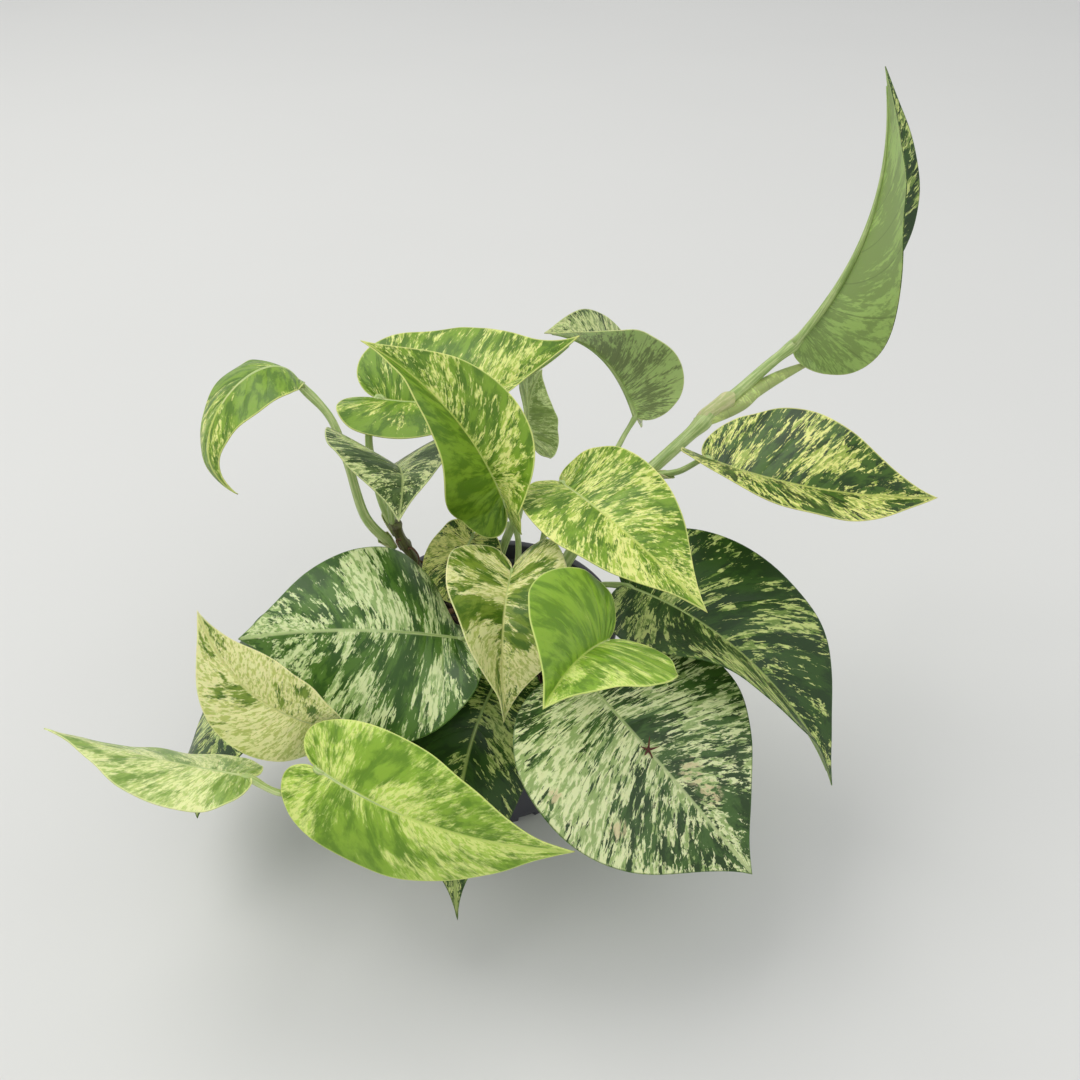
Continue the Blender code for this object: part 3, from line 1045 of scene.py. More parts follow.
    def stalk(self) -> None:
        """Builds the grooved petiole, the knee under the notch and the midrib's ridge beneath.

        The petiole's radius narrows by 0.36 along its way, grows by 0.22 in a bell at the knee and
        starts at 0.72 of itself in the vine. Its groove is a bell 0.30 deep on the upper side. At
        share s of the midrib the ridge's radius is 0.62 (1 - s)^0.8 of the petiole's and 0.12 mm.
        """
        notch, _, _, upward = self.midrib(np.array((0.0, 0.04)))
        under = notch[0] - upward[0] * 0.6
        ahead = notch[1] - upward[1] * 0.8
        places = (*buried(self.petiole, self.STALK_FOOT), under, ahead)
        route = smooth_route(places, self.STALK_STEPS)
        travel = np.linspace(0, 1, self.STALK_STEPS)
        angle = ring(self.RING)
        depth, width = self.GROOVE
        outline = circle(angle) * (1 - depth * bell(angle - TURN / 4, width))[:, None]
        swell, middle, reach = self.KNEE
        knee = swell * bell(travel - middle, reach)
        rooted = 0.72 + 0.34 * smoothstep(0.0, 0.09, travel)
        radius = self.stalk_radius * (1 - self.NARROWING * travel + knee) * rooted
        radius[-1] *= 0.6
        petiole = sweep(route, outline * radius[:, None, None] * MM, square_to(route, self.face))
        share = np.linspace(0.0, self.RIDGE_END, self.STALK_STEPS)
        place, _, _, up = self.midrib(share)
        ridge_radius = 0.62 * self.stalk_radius * (1 - share) ** 0.8 + 0.12
        ridge_route = (place - up * (0.25 + 0.5 * ridge_radius[:, None])) * MM
        ridge = sweep(ridge_route, circle(angle) * ridge_radius[:, None, None] * MM, up)
        place_tubes(f"stalk_{self.name}", (petiole, ridge), self.stalk_kind(), "stem_green",
                    (f"petiole_{self.name}",), self.seed)
        if self.sheath:
            self.wrap(route, radius)

    def stalk_kind(self) -> Stalk:
        """Pale stalks under pale leaves, greener ones under dark leaves."""
        return Stalk.LIGHT if self.coat in self.YOUNG else Stalk.GREEN

    def wrap(self, route: Array, radius: Array) -> None:
        """Builds the sheath: an open wrap round the stalk's foot that narrows to a point.

        At share s of its length it spans 150 (1 - 0.95 s^3) degrees each way from the stalk's back.
        Its size is 0.97 of the stalk's radius, and a smooth step of 0.13 more over the first 0.15
        of its length, and 0.5 s^2.

        Args:
            route: the places along the stalk's middle, in metres.
            radius: the stalk's radius at each, in millimetres.
        """
        length = np.linalg.norm(route[-1] - route[0]) / MM
        count = max(6, int(self.STALK_STEPS * min(0.9, self.sheath / length)))
        share = np.linspace(0, 1, count)
        span = np.radians(self.SHEATH_HALF_SPAN) * (1 - 0.95 * share ** 3)
        angle = -TURN / 4 + span[:, None] * np.linspace(-1, 1, self.SHEATH_COLUMNS)
        size = radius[:count] * (0.97 + 0.13 * smoothstep(0.0, 0.15, share) + 0.5 * share ** 2) * MM
        outline = circle(angle) * size[:, None, None]
        grid = sweep(route[:count], outline, square_to(route, self.face))
        travel = np.broadcast_to(share[:, None] * 0.03, angle.shape)
        strands = np.stack((angle, travel, np.full(angle.shape, self.seed)), axis=-1).reshape(-1, 3)
        Piece(f"sheath_{self.name}", grid.reshape(-1, 3),
              lattice(count, self.SHEATH_COLUMNS).tolist(), (Stalk.SHEATH.value.material(),),
              "stem_green", (), {"strand": strands}).place(self.SHEATH_THICKNESS * MM)


def place_tubes(name: str, grids: Sequence[Array], finish: Stalk, slot: str,
                replaced: tuple[str, ...], seed: float) -> None:
    """Closes some grids round their columns and places them as one piece of stalk tissue.

    The strand attribute is the turn round the tube, the distance in metres from the tube's first
    vertex, and the seed.

    Args:
        name: the piece's name.
        grids: places of the tubes, each of the same shape (rows, columns, 3).
        finish: the tissue.
        slot: the record's material slot.
        replaced: the frame's nodes that the piece stands for.
        seed: a number that makes its streaks its own.
    """
    points, faces = joined([sleeve(grid) for grid in grids])
    rows, columns = grids[0].shape[:2]
    turn = np.tile(np.append(np.tile(ring(columns), rows), (0, 0)), len(grids))
    tubes = points.reshape(len(grids), rows * columns + 2, 3)
    travel = np.linalg.norm(tubes - tubes[:, :1], axis=-1).ravel()
    strands = np.stack((turn, travel, np.full(len(points), seed)), axis=1)
    Piece(name, points, faces, (finish.value.material(),), slot, replaced,
          {"strand": strands}).place()


LEAVES = (
    Leaf("right_tall", ((147, 87, 204), (177, 101, 256), (181, 136, 320)), (0.8, 0.4, 0.5),
         (0.8, -0.4, 0.5), 39, (32, 60), (21, -7), ((104, 68, 175), (118, 73, 184), (135, 82, 196)),
         (0.04, -0.12), Coat.FOREST, (0.01, 0.0), fold_tip=(32, 29), stalk_radius=3.3, sheath=24,
         seed=0.13),
    Leaf("right_low", ((101, 41, 169), (147, 14, 170), (202, 8, 169)), (-0.1, 0.2, 1),
         (0, -0.6, 0.8), 38, (28, 34), (1, 11), ((81, 44, 157), (90, 40, 162)),
         (0.06, 0.06), Coat.BUTTER, (0.0, 0.01), sheath=12, seed=1.0),
    Leaf("back_right", ((72, 83, 166), (47, 100, 197), (25, 94, 207)), (0.4, 0.8, 0.5),
         (0.1, 0, 1), 39, (32, 34), (7, -3), ((63, 52, 148), (60, 63, 153), (65, 75, 158)),
         (0.07, 0.07), Coat.OLIVE, (0.03, 0.03), seed=0.41),
    Leaf("back_centre", ((-57, 72, 183), (-10, 63, 189), (41, 58, 224)), (-0.2, -0.1, 1),
         (0, 0, 1), 44, (40, 28), (37, 29), ((-48, 27, 139), (-54, 35, 153), (-60, 55, 170)),
         (0.14, 0.14), Coat.LIME, (-0.02, -0.03), seed=3.76, stalk_radius=2.3, sheath=14),
    Leaf("centre_upright", ((8, -3, 173), (-17, 13, 212), (-53, 26, 238)), (-0.5, 0.1, 0.8),
         (0.2, -0.4, 0.9), 26, (50, 31), (33, 3), ((8, 8, 92), (11, 5, 120), (13, 1, 150)),
         (0.15, 0.15), Coat.LIME, (-0.16, 0.0), seed=0.73),
    Leaf("front_cream", ((11, -27, 156), (8, -52, 152), (8, -81, 119)), (-0.3, -0.6, 0.8),
         (0.7, -0.2, 0.6), 30, (30, 35), (11, -4), ((2, -8, 92), (5, -14, 120), (9, -20, 145)),
         (0.15, 0.15), Coat.CREAM, (0.03, 0.02), seed=4.08),
    Leaf("right_lime", ((32, 6, 179), (58, -30, 179), (91, -58, 159)), (0, -0.4, 0.9),
         (0.2, -0.4, 0.9), 29, (12, 21), (-25, 13), ((20, 14, 92), (23, 13, 130), (28, 10, 164)),
         (0.07, 0.07), Coat.LIME, (0.012, 0.012), seed=1.07),
    Leaf("front_curled", ((50, -70, 155), (36, -94, 166), (24, -122, 171)), (0, -0.4, 0.9),
         (0.1, -0.3, 0.9), 36, (30, 58), (22, 60), ((26, -12, 92), (38, -34, 118), (48, -56, 145)),
         (0.17, 0.17), Coat.FRESH, (-0.012, -0.16), seed=1.92),
    Leaf("right_dark", ((62, -7, 130), (104, -32, 121), (136, -56, 98), (155, -70, 65)),
         (0, -0.6, 1), (0.5, -0.5, 0.6), 46, (0, 30), (5, 0),
         ((34, 10, 92), (38, 8, 108), (50, 0, 124)), (0.06, 0.03), Coat.FOREST, (-0.018, 0.0), 0.36,
         fold_tip=(0, 55), seed=1.37, drip=0.3),
    Leaf("front_large", ((40, -60, 126), (73, -93, 106), (112, -115, 63)), (0.3, -0.5, 0.8),
         (0.2, -0.7, 0.7), 53, (-4, 8), (0, 5), ((14, -22, 92), (22, -34, 108), (32, -48, 120)),
         (0.06, 0.06), Coat.SAGE, (0.006, 0.022), seed=1.51,
         spots=((-0.27, 0.75, 5), (-0.37, 0.81, 5), (0.73, 0.65, 4), (0.83, 0.5, 3))),
    Leaf("left_large", ((-9, -44, 131), (-57, -49, 141), (-107, -46, 133)), (-0.8, -0.1, 0.5),
         (0.1, -0.7, 0.7), 47, (-6, -3), (16, 30), ((-8, -16, 92), (-5, -26, 108), (-5, -38, 122)),
         (0.06, 0.06), Coat.FERN, (-0.005, 0.012), seed=2.38),
    Leaf("left_cream", ((-64, -81, 116), (-90, -84, 137), (-110, -72, 173)), (-0.6, -0.7, 0.3),
         (0.2, -0.4, 0.9), 22, (26, 17), (14, 3), ((-54, -82, 104), (-58, -82, 108)),
         (0.04, 0.04), Coat.CREAM, (0.075, 0.06), sheath=5, seed=3.2),
    Leaf("far_left", ((-92, -106, 115), (-133, -100, 120), (-173, -95, 131)), (0, 0.2, 1),
         (-0.1, 0.5, 0.8), 25, (7, -20), (24, 5),
         ((-57, -89, 101), (-67, -98, 98), (-81, -106, 105)), (0.04, 0.04), Coat.MILK,
         (0.01, 0.01), sheath=12, seed=1.97),
    Leaf("front_lime", ((-66, -103, 117), (-17, -127, 111), (36, -138, 111)), (-0.1, -0.6, 0.8),
         (0, -1, 0.2), 28, (15, -5), (22, 20), ((-55, -91, 108), (-60, -97, 113)),
         (0.12, 0.12), Coat.FRESH, (0.01, 0.01), sheath=7, seed=5.3),
    Leaf("left_hanging", ((-97, -3, 93), (-127, -44, 69), (-129, -85, 61)), (-0.7, -0.6, 0.3),
         (-0.5, -0.2, 0.8), 38, (0, 0), (10, 20), ((-34, 2, 92), (-52, 4, 112), (-80, 0, 105)),
         (0.06, 0.06), Coat.FOREST, (0.0, 0.0), seed=4.52),
    Leaf("front_hanging", ((8, -47, 118), (-3, -69, 108), (-12, -92, 78), (-13, -117, 32)),
         (-0.1, -0.5, 0.9), (0.1, -0.8, 0.3), 28, (0, 0), (10, 10), ((3, -32, 92), (5, -38, 106)),
         (0.05, 0.05), Coat.FOREST, (0.0, 0.0), seed=3.12, drip=0.6),
    Leaf("small_left", ((-9, 22, 137), (-16, 2, 125), (-14, -15, 124)), (-0.2, -0.5, 0.9),
         (-0.1, -0.5, 0.9), 20, (5, 0), (10, 16), ((-14, 24, 92), (-12, 28, 112), (-10, 27, 129)),
         (0.13, 0.13), Coat.BUTTER, (0.0, 0.03), seed=2.57),
    Leaf("arching_left", ((-87, 48, 203), (-95, 42, 217), (-111, 28, 214), (-110, 1, 176)),
         (-0.2, -0.1, 1), (-0.8, -0.6, 0.1), 22, (-10, -5), (6, 14),
         ((-50, 21, 134), (-60, 23, 148), (-67, 33, 172), (-74, 42, 190)), (-0.05, -0.05),
         Coat.LIME, (-0.045, -0.045), seed=4.1, stalk_radius=2.4, sheath=12),
    Leaf("saddle", ((-46, 25, 174), (-38, 6, 185), (-36, -26, 181)), (0.3, 0, 1),
         (-0.2, -0.4, 0.9), 36, (37, 35), (19, 12), ((-47, 22, 149), (-47, 22, 163)),
         (0.17, 0.17), Coat.OLIVE, (0.01, 0.0), seed=2.89),
    Leaf("young", ((19, 45, 174), (17, 66, 180), (24, 94, 187)), (0.8, 0.1, 0.6),
         (0.6, -0.7, 0.5), 19, (31, 21), (6, 12), ((13, 31, 143), (17, 39, 160)),
         (0.14, 0.14), Coat.MIST, (0.0, 0.0), seed=3.01),
)


# ---- vines --------------------------------------------------------------------------------------


@dataclass
class Vine:
    """A trailing stem with swollen nodes.

    Args:
        name: the frame node's name.
        route: places it passes through.
        radius: its radius between nodes.
        nodes: shares of its length where leaves join.
        finish: its surface.
        slot: the record's material slot.
        seed: a number that makes its streaks its own.
    """

    name: str
    route: Route
    radius: float
    nodes: tuple[float, ...]
    finish: Stalk
    slot: str
    seed: float

    STEPS = 110
    RING = 24
    FOOT = 8
    RIBS = 5

    def build(self) -> None:
        """Carries a ring along the route.

        The radius swells by a third in a bell at each node, with a thin scar just past it, and
        five low ribs run along the stem.
        """
        route = smooth_route(buried(self.route, self.FOOT), self.STEPS)
        gap = np.linspace(0, 1, self.STEPS)[:, None] - np.array(self.nodes)
        swelling = (0.34 * bell(gap, 0.035)).sum(axis=1)
        scar = (0.16 * bell(gap - 0.022, 0.006)).sum(axis=1)
        radius = self.radius * (1 + swelling - scar)
        angle = ring(self.RING)
        outline = circle(angle) * (1 + 0.035 * np.sin(self.RIBS * angle + self.seed))[:, None]
        grid = sweep(route, outline * radius[:, None, None] * MM, square_to(route, (0, -1, 0.2)))
        place_tubes(f"stem_{self.name}", (grid,), self.finish, self.slot, (self.name,), self.seed)


VINES = (
    Vine("vine_right", ((22, 22, 92), (30, 20, 110), (45, 30, 132), (62, 41, 146), (78, 51, 156),
                        (100, 64, 171), (110, 70, 179)), 3.2, (0.40, 0.61, 0.93), Stalk.GREEN,
         "stem_green", 4.1),
    Vine("vine_left", ((-30, 18, 92), (-39, 24, 120), (-44, 24, 133), (-46, 22, 144)), 2.5,
         (0.50, 0.76, 0.98), Stalk.OLD, "vine_old", 4.3),
    Vine("vine_centre", ((-4, 14, 92), (4, 22, 125), (10, 29, 139)), 2.1, (0.55, 0.98),
         Stalk.GREEN, "stem_green", 4.7),
    Vine("vine_front", ((-22, -22, 92), (-28, -44, 112), (-40, -70, 108), (-50, -82, 102)), 2.3,
         (0.35, 0.68, 0.98), Stalk.OLD, "vine_old", 4.9),
)


@dataclass
class AerialRoots:
    """Short brown rootlets curling from the nodes of the left vine.

    Args:
        routes: the places each rootlet passes through.
        radius: the radius at a rootlet's foot.
    """

    routes: tuple[Route, ...] = (
        ((-41, 23, 128), (-38, 18, 132), (-35, 15, 129), (-36, 13, 124)),
        ((-42, 24, 122), (-38, 20, 121), (-34, 19, 117), (-34, 20, 112)),
        ((-40, 26, 118), (-35, 27, 116), (-31, 26, 110)),
        ((-44, 20, 136), (-45, 16, 138), (-43, 13, 135)),
    )
    radius: float = 0.85

    STEPS = 22
    RING = 10
    SEED = 5.3

    def build(self) -> None:
        """Carries a ring that narrows to a quarter along each route."""
        radius = self.radius * np.linspace(1, 0.25, self.STEPS)
        outline = circle(ring(self.RING)) * radius[:, None, None] * MM
        grids = [sweep(smooth_route(route, self.STEPS), outline, np.array((0.3, 1.0, 0.2)))
                 for route in self.routes]
        place_tubes("aerial_rootlets", grids, Stalk.ROOT, "vine_old", ("aerial_root_left",),
                    self.SEED)


@dataclass
class DryFlake:
    """A dry star-shaped fragment lying on the large front leaf.

    Args:
        middle: where its arms meet.
        across: one way over the leaf.
        down: the other way.
        reach: each arm's length.
    """

    middle: Triple = (67.6, -88.6, 110.9)
    across: Triple = (0.82, 0.38, 0.42)
    down: Triple = (0.45, -0.62, -0.64)
    reach: tuple[float, ...] = (5.0, 4.0, 4.8, 3.6, 5.2)

    STEPS = 12
    RING = 8
    RADII = (0.6, 0.12)
    SEED = 6.1

    def build(self) -> None:
        """Carries a narrowing ring out from the middle along each arm, up and over a little."""
        outline = circle(ring(self.RING)) * np.linspace(*self.RADII, self.STEPS)[:, None, None] * MM
        centre, across, down = (np.array(x, float) for x in (self.middle, self.across, self.down))
        rise = unit(np.cross(down, across))
        grids = []
        for index, reach in enumerate(self.reach):
            turn = TURN * index / len(self.reach) + 0.3
            arm = np.cos(turn) * across + np.sin(turn) * down
            places = (centre, centre + 0.5 * reach * arm + 0.6 * rise,
                      centre + reach * arm + 0.3 * rise)
            grids.append(sweep(smooth_route(places, self.STEPS), outline, rise))
        place_tubes("dry_flake", grids, Stalk.FLAKE, "vine_old", (), self.SEED)


@dataclass
class UnfurlingLeaf:
    """The next leaf of the right vine, still rolled round itself.

    Args:
        route: the places its middle passes through.
        radius: its radius where it is thickest.
        turns: how many times the blade goes round.
    """

    route: Route = ((104, 65, 173), (121, 71, 180), (129, 76, 185), (142, 82, 190), (158, 89, 194))
    radius: float = 3.7
    turns: float = 1.6

    STEPS = 90
    AROUND = 60
    SEED = 21.0
    RIB_GAP = 5.0
    MARGIN_GAP = 20
    THICKNESS = 0.45

    def build(self) -> None:
        """Carries a spiral along the route.

        At share s of the way the radius is 0.42 + 0.58 sin(pi s^0.8) of the largest, times
        1 - 0.55 s^6, and at turn share q the spiral lies at 0.72 + 0.28 q of that.
        """
        route = smooth_route(self.route, self.STEPS)
        travel = np.linspace(0, 1, self.STEPS)
        size = self.radius * (0.42 + 0.58 * np.sin(np.pi * travel ** 0.8))
        size = size * (1 - 0.55 * travel ** 6)
        share = np.linspace(0, 1, self.AROUND)
        angle = share * self.turns * TURN + 0.6 * travel[:, None]
        outline = circle(angle) * (size[:, None] * (0.72 + 0.28 * share))[..., None] * MM
        grid = sweep(route, outline, np.array((0.2, -0.8, 0.6)))
        plain = np.zeros(angle.shape)
        vein = (plain + share * 2 - 1, plain + travel[:, None] * 0.5, plain + self.SEED)
        lamina = (plain + self.RIB_GAP, plain + (1 - share) * self.MARGIN_GAP, plain)
        traits = {"vein": np.stack(vein, axis=-1).reshape(-1, 3),
                  "lamina": np.stack(lamina, axis=-1).reshape(-1, 3)}
        Piece("blade_unfurling", grid.reshape(-1, 3), lattice(self.STEPS, self.AROUND).tolist(),
              Coat.CREAM.value.sides()[::-1], "leaf_marbled", ("leaf_unfurling",),
              traits).place(self.THICKNESS * MM)


# ---- pot and soil -------------------------------------------------------------------------------


@dataclass
class Pot:
    """A tapered nursery pot with a band under its rolled lip and drainage notches at its foot.

    Args:
        height: from foot to rim.
        rim: the lip's outer radius.
        base: the foot's outer radius.
        wall: the wall's thickness.
        lip_width: how far the lip stands out.
        lip_depth: the lip's height.
        band_depth: from the rim to the band's foot.
        band_step: how far the band stands out.
        notches: how many drainage notches there are.
        notch_width: a notch's breadth.
        notch_height: a notch's height.
    """

    height: float = 105
    rim: float = 60
    base: float = 42.5
    wall: float = 1.3
    lip_width: float = 2.8
    lip_depth: float = 3.5
    band_depth: float = 11
    band_step: float = 1.2
    notches: int = 8
    notch_width: float = 8
    notch_height: float = 4

    AROUND = 288
    CENTRE = 3
    EDGE = 0.3
    CORNER = 0.1
    NOTCH_DEPTH = 2.6
    NOTCH_EDGE = 0.5
    FLOOR_EDGE = 0.8
    BEVEL = 0.05
    BEVEL_FROM = 35

    def radius_at(self, height: float) -> float:
        """The outer radius at a height below the band."""
        top = self.rim - self.lip_width - self.band_step
        return self.base + (top - self.base) * height / (self.height - self.band_depth)

    def profile(self) -> Array:
        """The half section: over the floor, up the inside, round the lip and down the outside.

        The lip's roll is an ellipse over the wall's top, and every corner is eased by a few tenths.

        Returns:
            Radius and height of each corner, in millimetres.
        """
        edge, corner = self.EDGE, self.CORNER
        foot = self.height - self.band_depth
        shelf = foot + self.band_step
        under = self.height - self.lip_depth
        band = self.rim - self.lip_width
        bead = 0.5 * self.wall
        notch = self.notch_height
        # Ten of the fourteen steps from inside to straight down end just past the roll's widest.
        turn = np.linspace(np.pi, -0.5 * np.pi, 15)[:11]
        crown = np.array((self.rim - 0.5 * self.lip_width - 0.5 * self.wall, self.height - bead))
        reach = np.array((0.5 * self.lip_width + 0.5 * self.wall, bead))
        inside = ((self.CENTRE, self.wall),
                  (self.radius_at(self.wall) - self.wall - self.FLOOR_EDGE, self.wall),
                  (self.radius_at(2 * self.wall) - self.wall, 1.6 * self.wall),
                  (self.radius_at(foot) - self.wall, foot),
                  (band - self.wall, shelf))
        outside = ((self.rim, under + edge), (self.rim - edge, under), (band + corner, under),
                   (band, under - corner), (band, shelf + 2 * corner), (band - corner, shelf),
                   (self.radius_at(foot) + corner, foot + corner),
                   (self.radius_at(foot), foot - 2 * corner),
                   (self.radius_at(2 * notch), 2 * notch), (self.radius_at(notch), notch),
                   (self.radius_at(notch) - 0.5 * corner, notch - corner),
                   (self.base + 0.2, 1.2), (self.base - 0.2, 0.3), (self.base - 1.0, 0.0),
                   (self.CENTRE, 0.0))
        return np.vstack((inside, crown + reach * circle(turn), outside))

    def build(self) -> None:
        """Turns the profile about Z, and draws the foot in where a notch is."""
        profile = self.profile()
        angle = ring(self.AROUND)
        radius, height = profile[:, :1], profile[:, 1:]
        step = TURN / self.notches
        gap = np.abs(angle % step - step / 2) * self.base
        half = 0.5 * self.notch_width
        notch = 1 - smoothstep(half - self.NOTCH_EDGE, half + self.NOTCH_EDGE, gap)
        outer = np.arange(len(profile))[:, None] > len(profile) // 2
        low = outer & (height < self.notch_height - 0.05) & (radius > self.base - 3)
        radius = radius - np.where(low, self.NOTCH_DEPTH * notch, 0)
        height = np.broadcast_to(height, radius.shape)
        grid = np.stack((radius * np.cos(angle), radius * np.sin(angle), height), axis=-1)
        points, faces = sleeve(grid * MM)
        pot = Piece("pot_moulded", points, faces, (PotFinish().material(),), "pot_plastic",
                    ("pot",)).place()
        bevel = pot.modifiers.new("soft_edges", "BEVEL")
        bevel.width = self.BEVEL * MM
        bevel.segments = 2
        bevel.limit_method = "ANGLE"
        bevel.angle_limit = np.radians(self.BEVEL_FROM)


@dataclass
class Soil:
    """Peat in the pot with crumbs, bark, perlite and dry roots lying on it.

    Args:
        radius: the surface's radius.
        top: its height.
        crumbs: how many crumbs of peat lie on it.
        chips: how many chips of bark.
        beads: how many beads of perlite.
        fibres: how many dry roots.
    """

    radius: float = 53.2
    top: float = 90
    crumbs: int = 700
    chips: int = 60
    beads: int = 26
    fibres: int = 26

    RINGS = 44
    AROUND = 132
    DEPTH = 6
    WAVES = 14
    BED_SEED = 7
    ROOT_SEED = 31
    ROOT_STEPS = 16
    ROOT_RING = 6
    ROOT_SPREAD = 34
    ROOT_STRIDE = 4.5
    STRAND_SEED = 6.1
    FLAT = 0.5

    def bed(self) -> None:
        """Builds the ground: a disc whose height is a sum of sine waves and a little jitter."""
        rng = np.random.default_rng(self.BED_SEED)
        out = np.linspace(0.02, 1, self.RINGS)[:, None] * self.radius
        angle = ring(self.AROUND)
        x, y = out * np.cos(angle), out * np.sin(angle)
        waves = rng.normal(0, 1, (self.WAVES, 2)) * 0.22
        phases = rng.uniform(0, TURN, self.WAVES)
        swell = np.sin(x[..., None] * waves[:, 0] + y[..., None] * waves[:, 1] + phases)
        height = self.top - 0.6 + 0.28 * swell.sum(axis=-1) + rng.normal(0, 0.3, x.shape)
        top = np.stack((x, y, height), axis=-1)
        under = top[[-1, 0]]
        under[..., 2] = self.top - self.DEPTH
        points, faces = sleeve(np.concatenate((top, under)) * MM)
        tint = rng.uniform(0.1, 0.6, (len(points), 1)) * (1, 0, 0)
        Piece("soil_bed", points, faces, (SOIL.material(),), "soil", ("soil",),
              {"tint": tint}).place()

    def scatter(self, name: str, count: int, size: Pair, squash: Triple, finish: Material,
                seed: int, rough: float = 0.22) -> None:
        """Lays many small stones of one kind on the ground.

        Each is a sphere of five rings of eight places whose radii are jittered, scaled on three
        axes, turned by a random rotation, or tilted a little where it is flat, and set down in an
        even scatter over the disc.

        Args:
            name: the piece's name.
            count: how many there are.
            size: the smallest and largest radius.
            squash: the scale of the three axes.
            finish: the material.
            seed: the random seed.
            rough: the share by which radii are jittered.
        """
        rng = np.random.default_rng(seed)
        rise = np.linspace(-0.8, 0.8, 5)[:, None] * np.pi / 2
        turn = ring(8)
        ball = np.stack((np.cos(rise) * np.cos(turn), np.cos(rise) * np.sin(turn),
                         np.sin(rise) * np.ones(8)), axis=-1)
        shape, faces = sleeve(ball[::-1])
        scale = rng.uniform(*size, (count, 1, 1)) * np.array(squash)
        scale = scale * rng.uniform(0.7, 1.3, (count, 1, 3))
        stones = shape * scale * rng.uniform(1 - rough, 1 + rough, (count, len(shape), 1))
        turned = np.linalg.qr(rng.normal(0, 1, (count, 3, 3)))[0]
        turned *= np.sign(np.linalg.det(turned))[:, None, None]
        if squash[2] < self.FLAT:
            turned = np.linalg.qr(np.eye(3) + 0.35 * turned)[0]
            turned *= np.sign(np.linalg.det(turned))[:, None, None]
        stones = np.einsum("nvk,njk->nvj", stones, turned)
        out = (self.radius - 2.5) * np.sqrt(rng.uniform(0, 1, count))
        angle = rng.uniform(0, TURN, count)
        middle = np.stack((out * np.cos(angle), out * np.sin(angle),
                           self.top + rng.uniform(-0.8, 0.9, count)), axis=-1)
        points = ((stones + middle[:, None]) * MM).reshape(-1, 3)
        offsets = np.arange(count)[:, None, None] * len(shape)
        cells = []
        for corners in (4, 3):
            part = np.array([face for face in faces if len(face) == corners])
            cells += (part + offsets).reshape(-1, corners).tolist()
        tint = np.repeat(rng.uniform(0, 1, (count, 1)) * (1, 0, 0), len(shape), axis=0)
        Piece(name, points, cells, (finish,), "soil", (), {"tint": tint}).place()

    def roots(self) -> None:
        """Lays dry fibres on the ground: thin rings carried along gentle random arcs."""
        rng = np.random.default_rng(self.ROOT_SEED)
        upward = np.array((0.0, 0.0, 1.0))
        grids = []
        for _ in range(self.fibres):
            start = rng.uniform(-self.ROOT_SPREAD, self.ROOT_SPREAD, 2)
            heading = rng.uniform(0, TURN)
            steps = heading + np.cumsum(rng.normal(0, 0.5, 4))
            reach = np.cumsum(circle(steps) * self.ROOT_STRIDE, axis=0)
            lift = self.top + rng.uniform(0.6, 2.4, 4)
            line = smooth_route(np.column_stack((start + reach, lift)), self.ROOT_STEPS)
            radius = rng.uniform(0.22, 0.5) * MM
            outline = np.tile(circle(ring(self.ROOT_RING)) * radius, (self.ROOT_STEPS, 1, 1))
            grids.append(sweep(line, outline, upward))
        place_tubes("dry_roots", grids, Stalk.ROOT, "soil", (), self.STRAND_SEED)

    def build(self) -> None:
        """Builds the ground and everything on it."""
        self.bed()
        self.scatter("peat_crumbs", self.crumbs, (0.7, 1.9), (1, 1, 0.8), SOIL.material(), 11)
        self.scatter("bark_chips", self.chips, (2.0, 4.2), (1.4, 0.8, 0.28), BARK.material(), 13,
                     0.12)
        self.scatter("perlite_beads", self.beads, (0.7, 1.4), (1, 1, 0.9), PERLITE.material(), 17,
                     0.15)
        self.roots()


SOIL = SoilFinish("peat", (26, 20, 17), (66, 50, 40))
BARK = SoilFinish("bark", (58, 38, 26), (112, 80, 54), 0.75)
PERLITE = SoilFinish("perlite", (176, 172, 162), (216, 214, 206), 0.8)


# ---- studio -------------------------------------------------------------------------------------


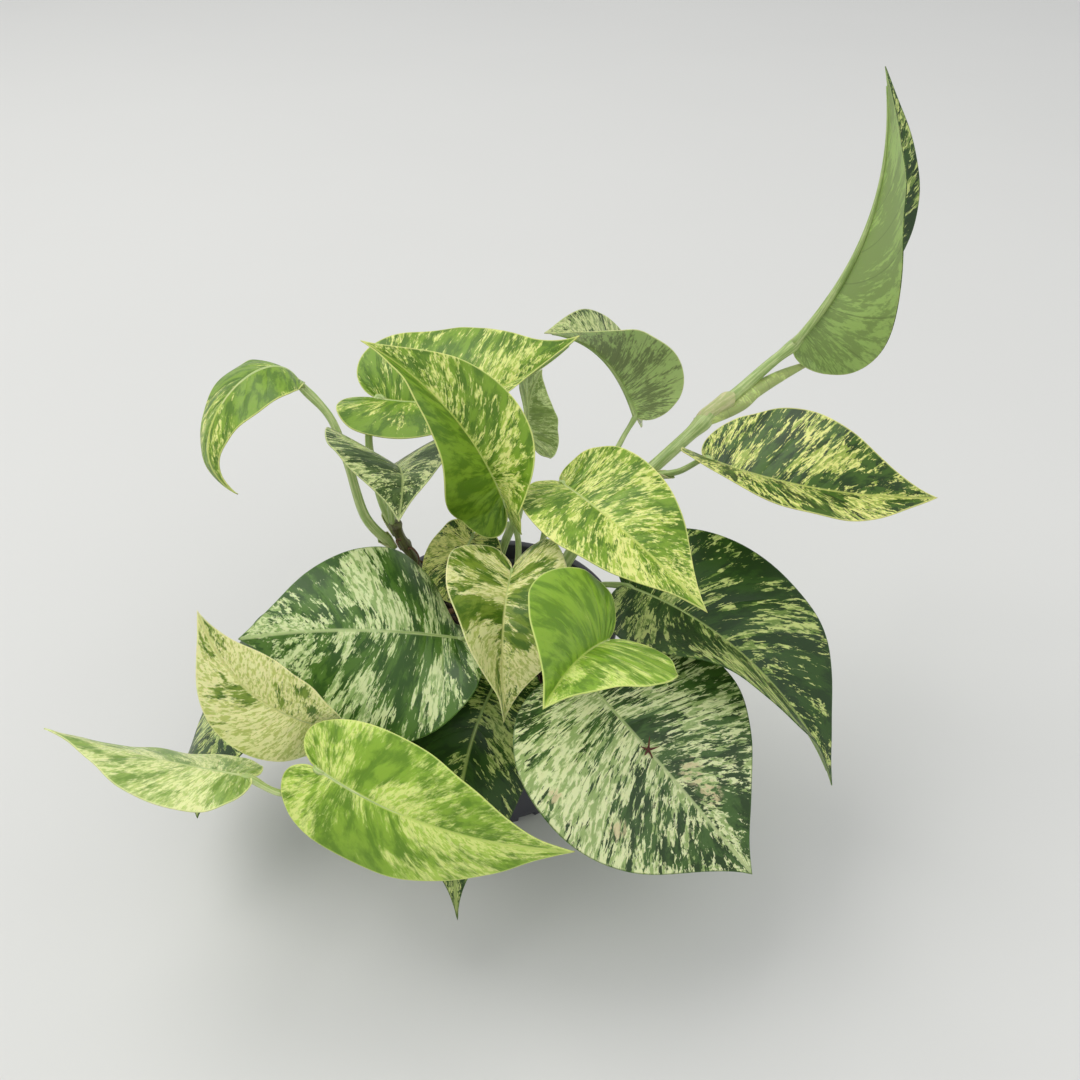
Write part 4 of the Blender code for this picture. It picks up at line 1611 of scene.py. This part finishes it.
@dataclass
class Studio:
    """A pale floor, soft lights and the camera.

    Args:
        eye: the camera's place in metres.
        pitch: how far it is tipped up from looking straight down.
        lens: its focal length.
        floor: half the floor's width in metres.
        daylight: the strength of the even light all round.
    """

    eye: Triple = (0.023, -0.376, 0.445)
    pitch: float = 52
    lens: float = 35
    floor: float = 6
    daylight: float = 0.74

    AIM = (0, 0, 0.12)

    def light(self, name: str, place: Triple, aim: Triple, size: float, power: float,
              tint: Triple) -> None:
        """Adds one square area light.

        Args:
            name: the light's name.
            place: where it hangs, in metres.
            aim: where it looks.
            size: its side in metres.
            power: its power in watts.
            tint: its colour.
        """
        data = bpy.data.lights.new(name, "AREA")
        data.size = size
        data.energy = power
        data.color = tint
        lamp = bpy.data.objects.new(name, data)
        lamp.location = place
        toward = unit(np.array(aim, float) - np.array(place, float))
        lamp.rotation_euler = (float(np.arccos(-toward[2])), 0,
                               float(np.arctan2(toward[1], toward[0]) - np.pi / 2))
        bpy.context.scene.collection.objects.link(lamp)

    def build(self) -> None:
        """Lays the floor, hangs the lights and sets the camera."""
        edge = self.floor
        mesh = bpy.data.meshes.new("floor")
        mesh.from_pydata([(-edge, -edge, 0), (edge, -edge, 0), (edge, edge, 0), (-edge, edge, 0)],
                         [], [(0, 1, 2, 3)])
        floor = bpy.data.objects.new("floor", mesh)
        mesh.materials.append(FloorFinish().material())
        bpy.context.scene.collection.objects.link(floor)
        self.light("key", (-1.1, 0.5, 2.4), self.AIM, 1.9, 31, (1.0, 0.99, 0.95))
        self.light("fill", (1.4, -1.2, 1.9), self.AIM, 2.2, 12, (0.98, 0.99, 1.0))
        world = bpy.data.worlds.new("room")
        world.use_nodes = True
        sky = world.node_tree.nodes["Background"]
        sky.inputs["Color"].default_value = (0.97, 0.98, 1.0, 1)
        sky.inputs["Strength"].default_value = self.daylight
        bpy.context.scene.world = world
        bpy.context.scene.view_settings.view_transform = "Standard"
        data = bpy.data.cameras.new("camera")
        data.lens = self.lens
        camera = bpy.data.objects.new("camera", data)
        camera.location = self.eye
        camera.rotation_euler = (np.radians(self.pitch), 0, 0)
        bpy.context.scene.collection.objects.link(camera)
        bpy.context.scene.camera = camera


def main() -> None:
    """Builds the studio, the pot, the soil and the plant."""
    logging.basicConfig(level=logging.INFO, format="%(name)s: %(message)s")
    Studio().build()
    Pot().build()
    Soil().build()
    for vine in VINES:
        vine.build()
    AerialRoots().build()
    DryFlake().build()
    UnfurlingLeaf().build()
    for leaf in LEAVES:
        leaf.blade()
        leaf.stalk()


if __name__ == "__main__":
    main()
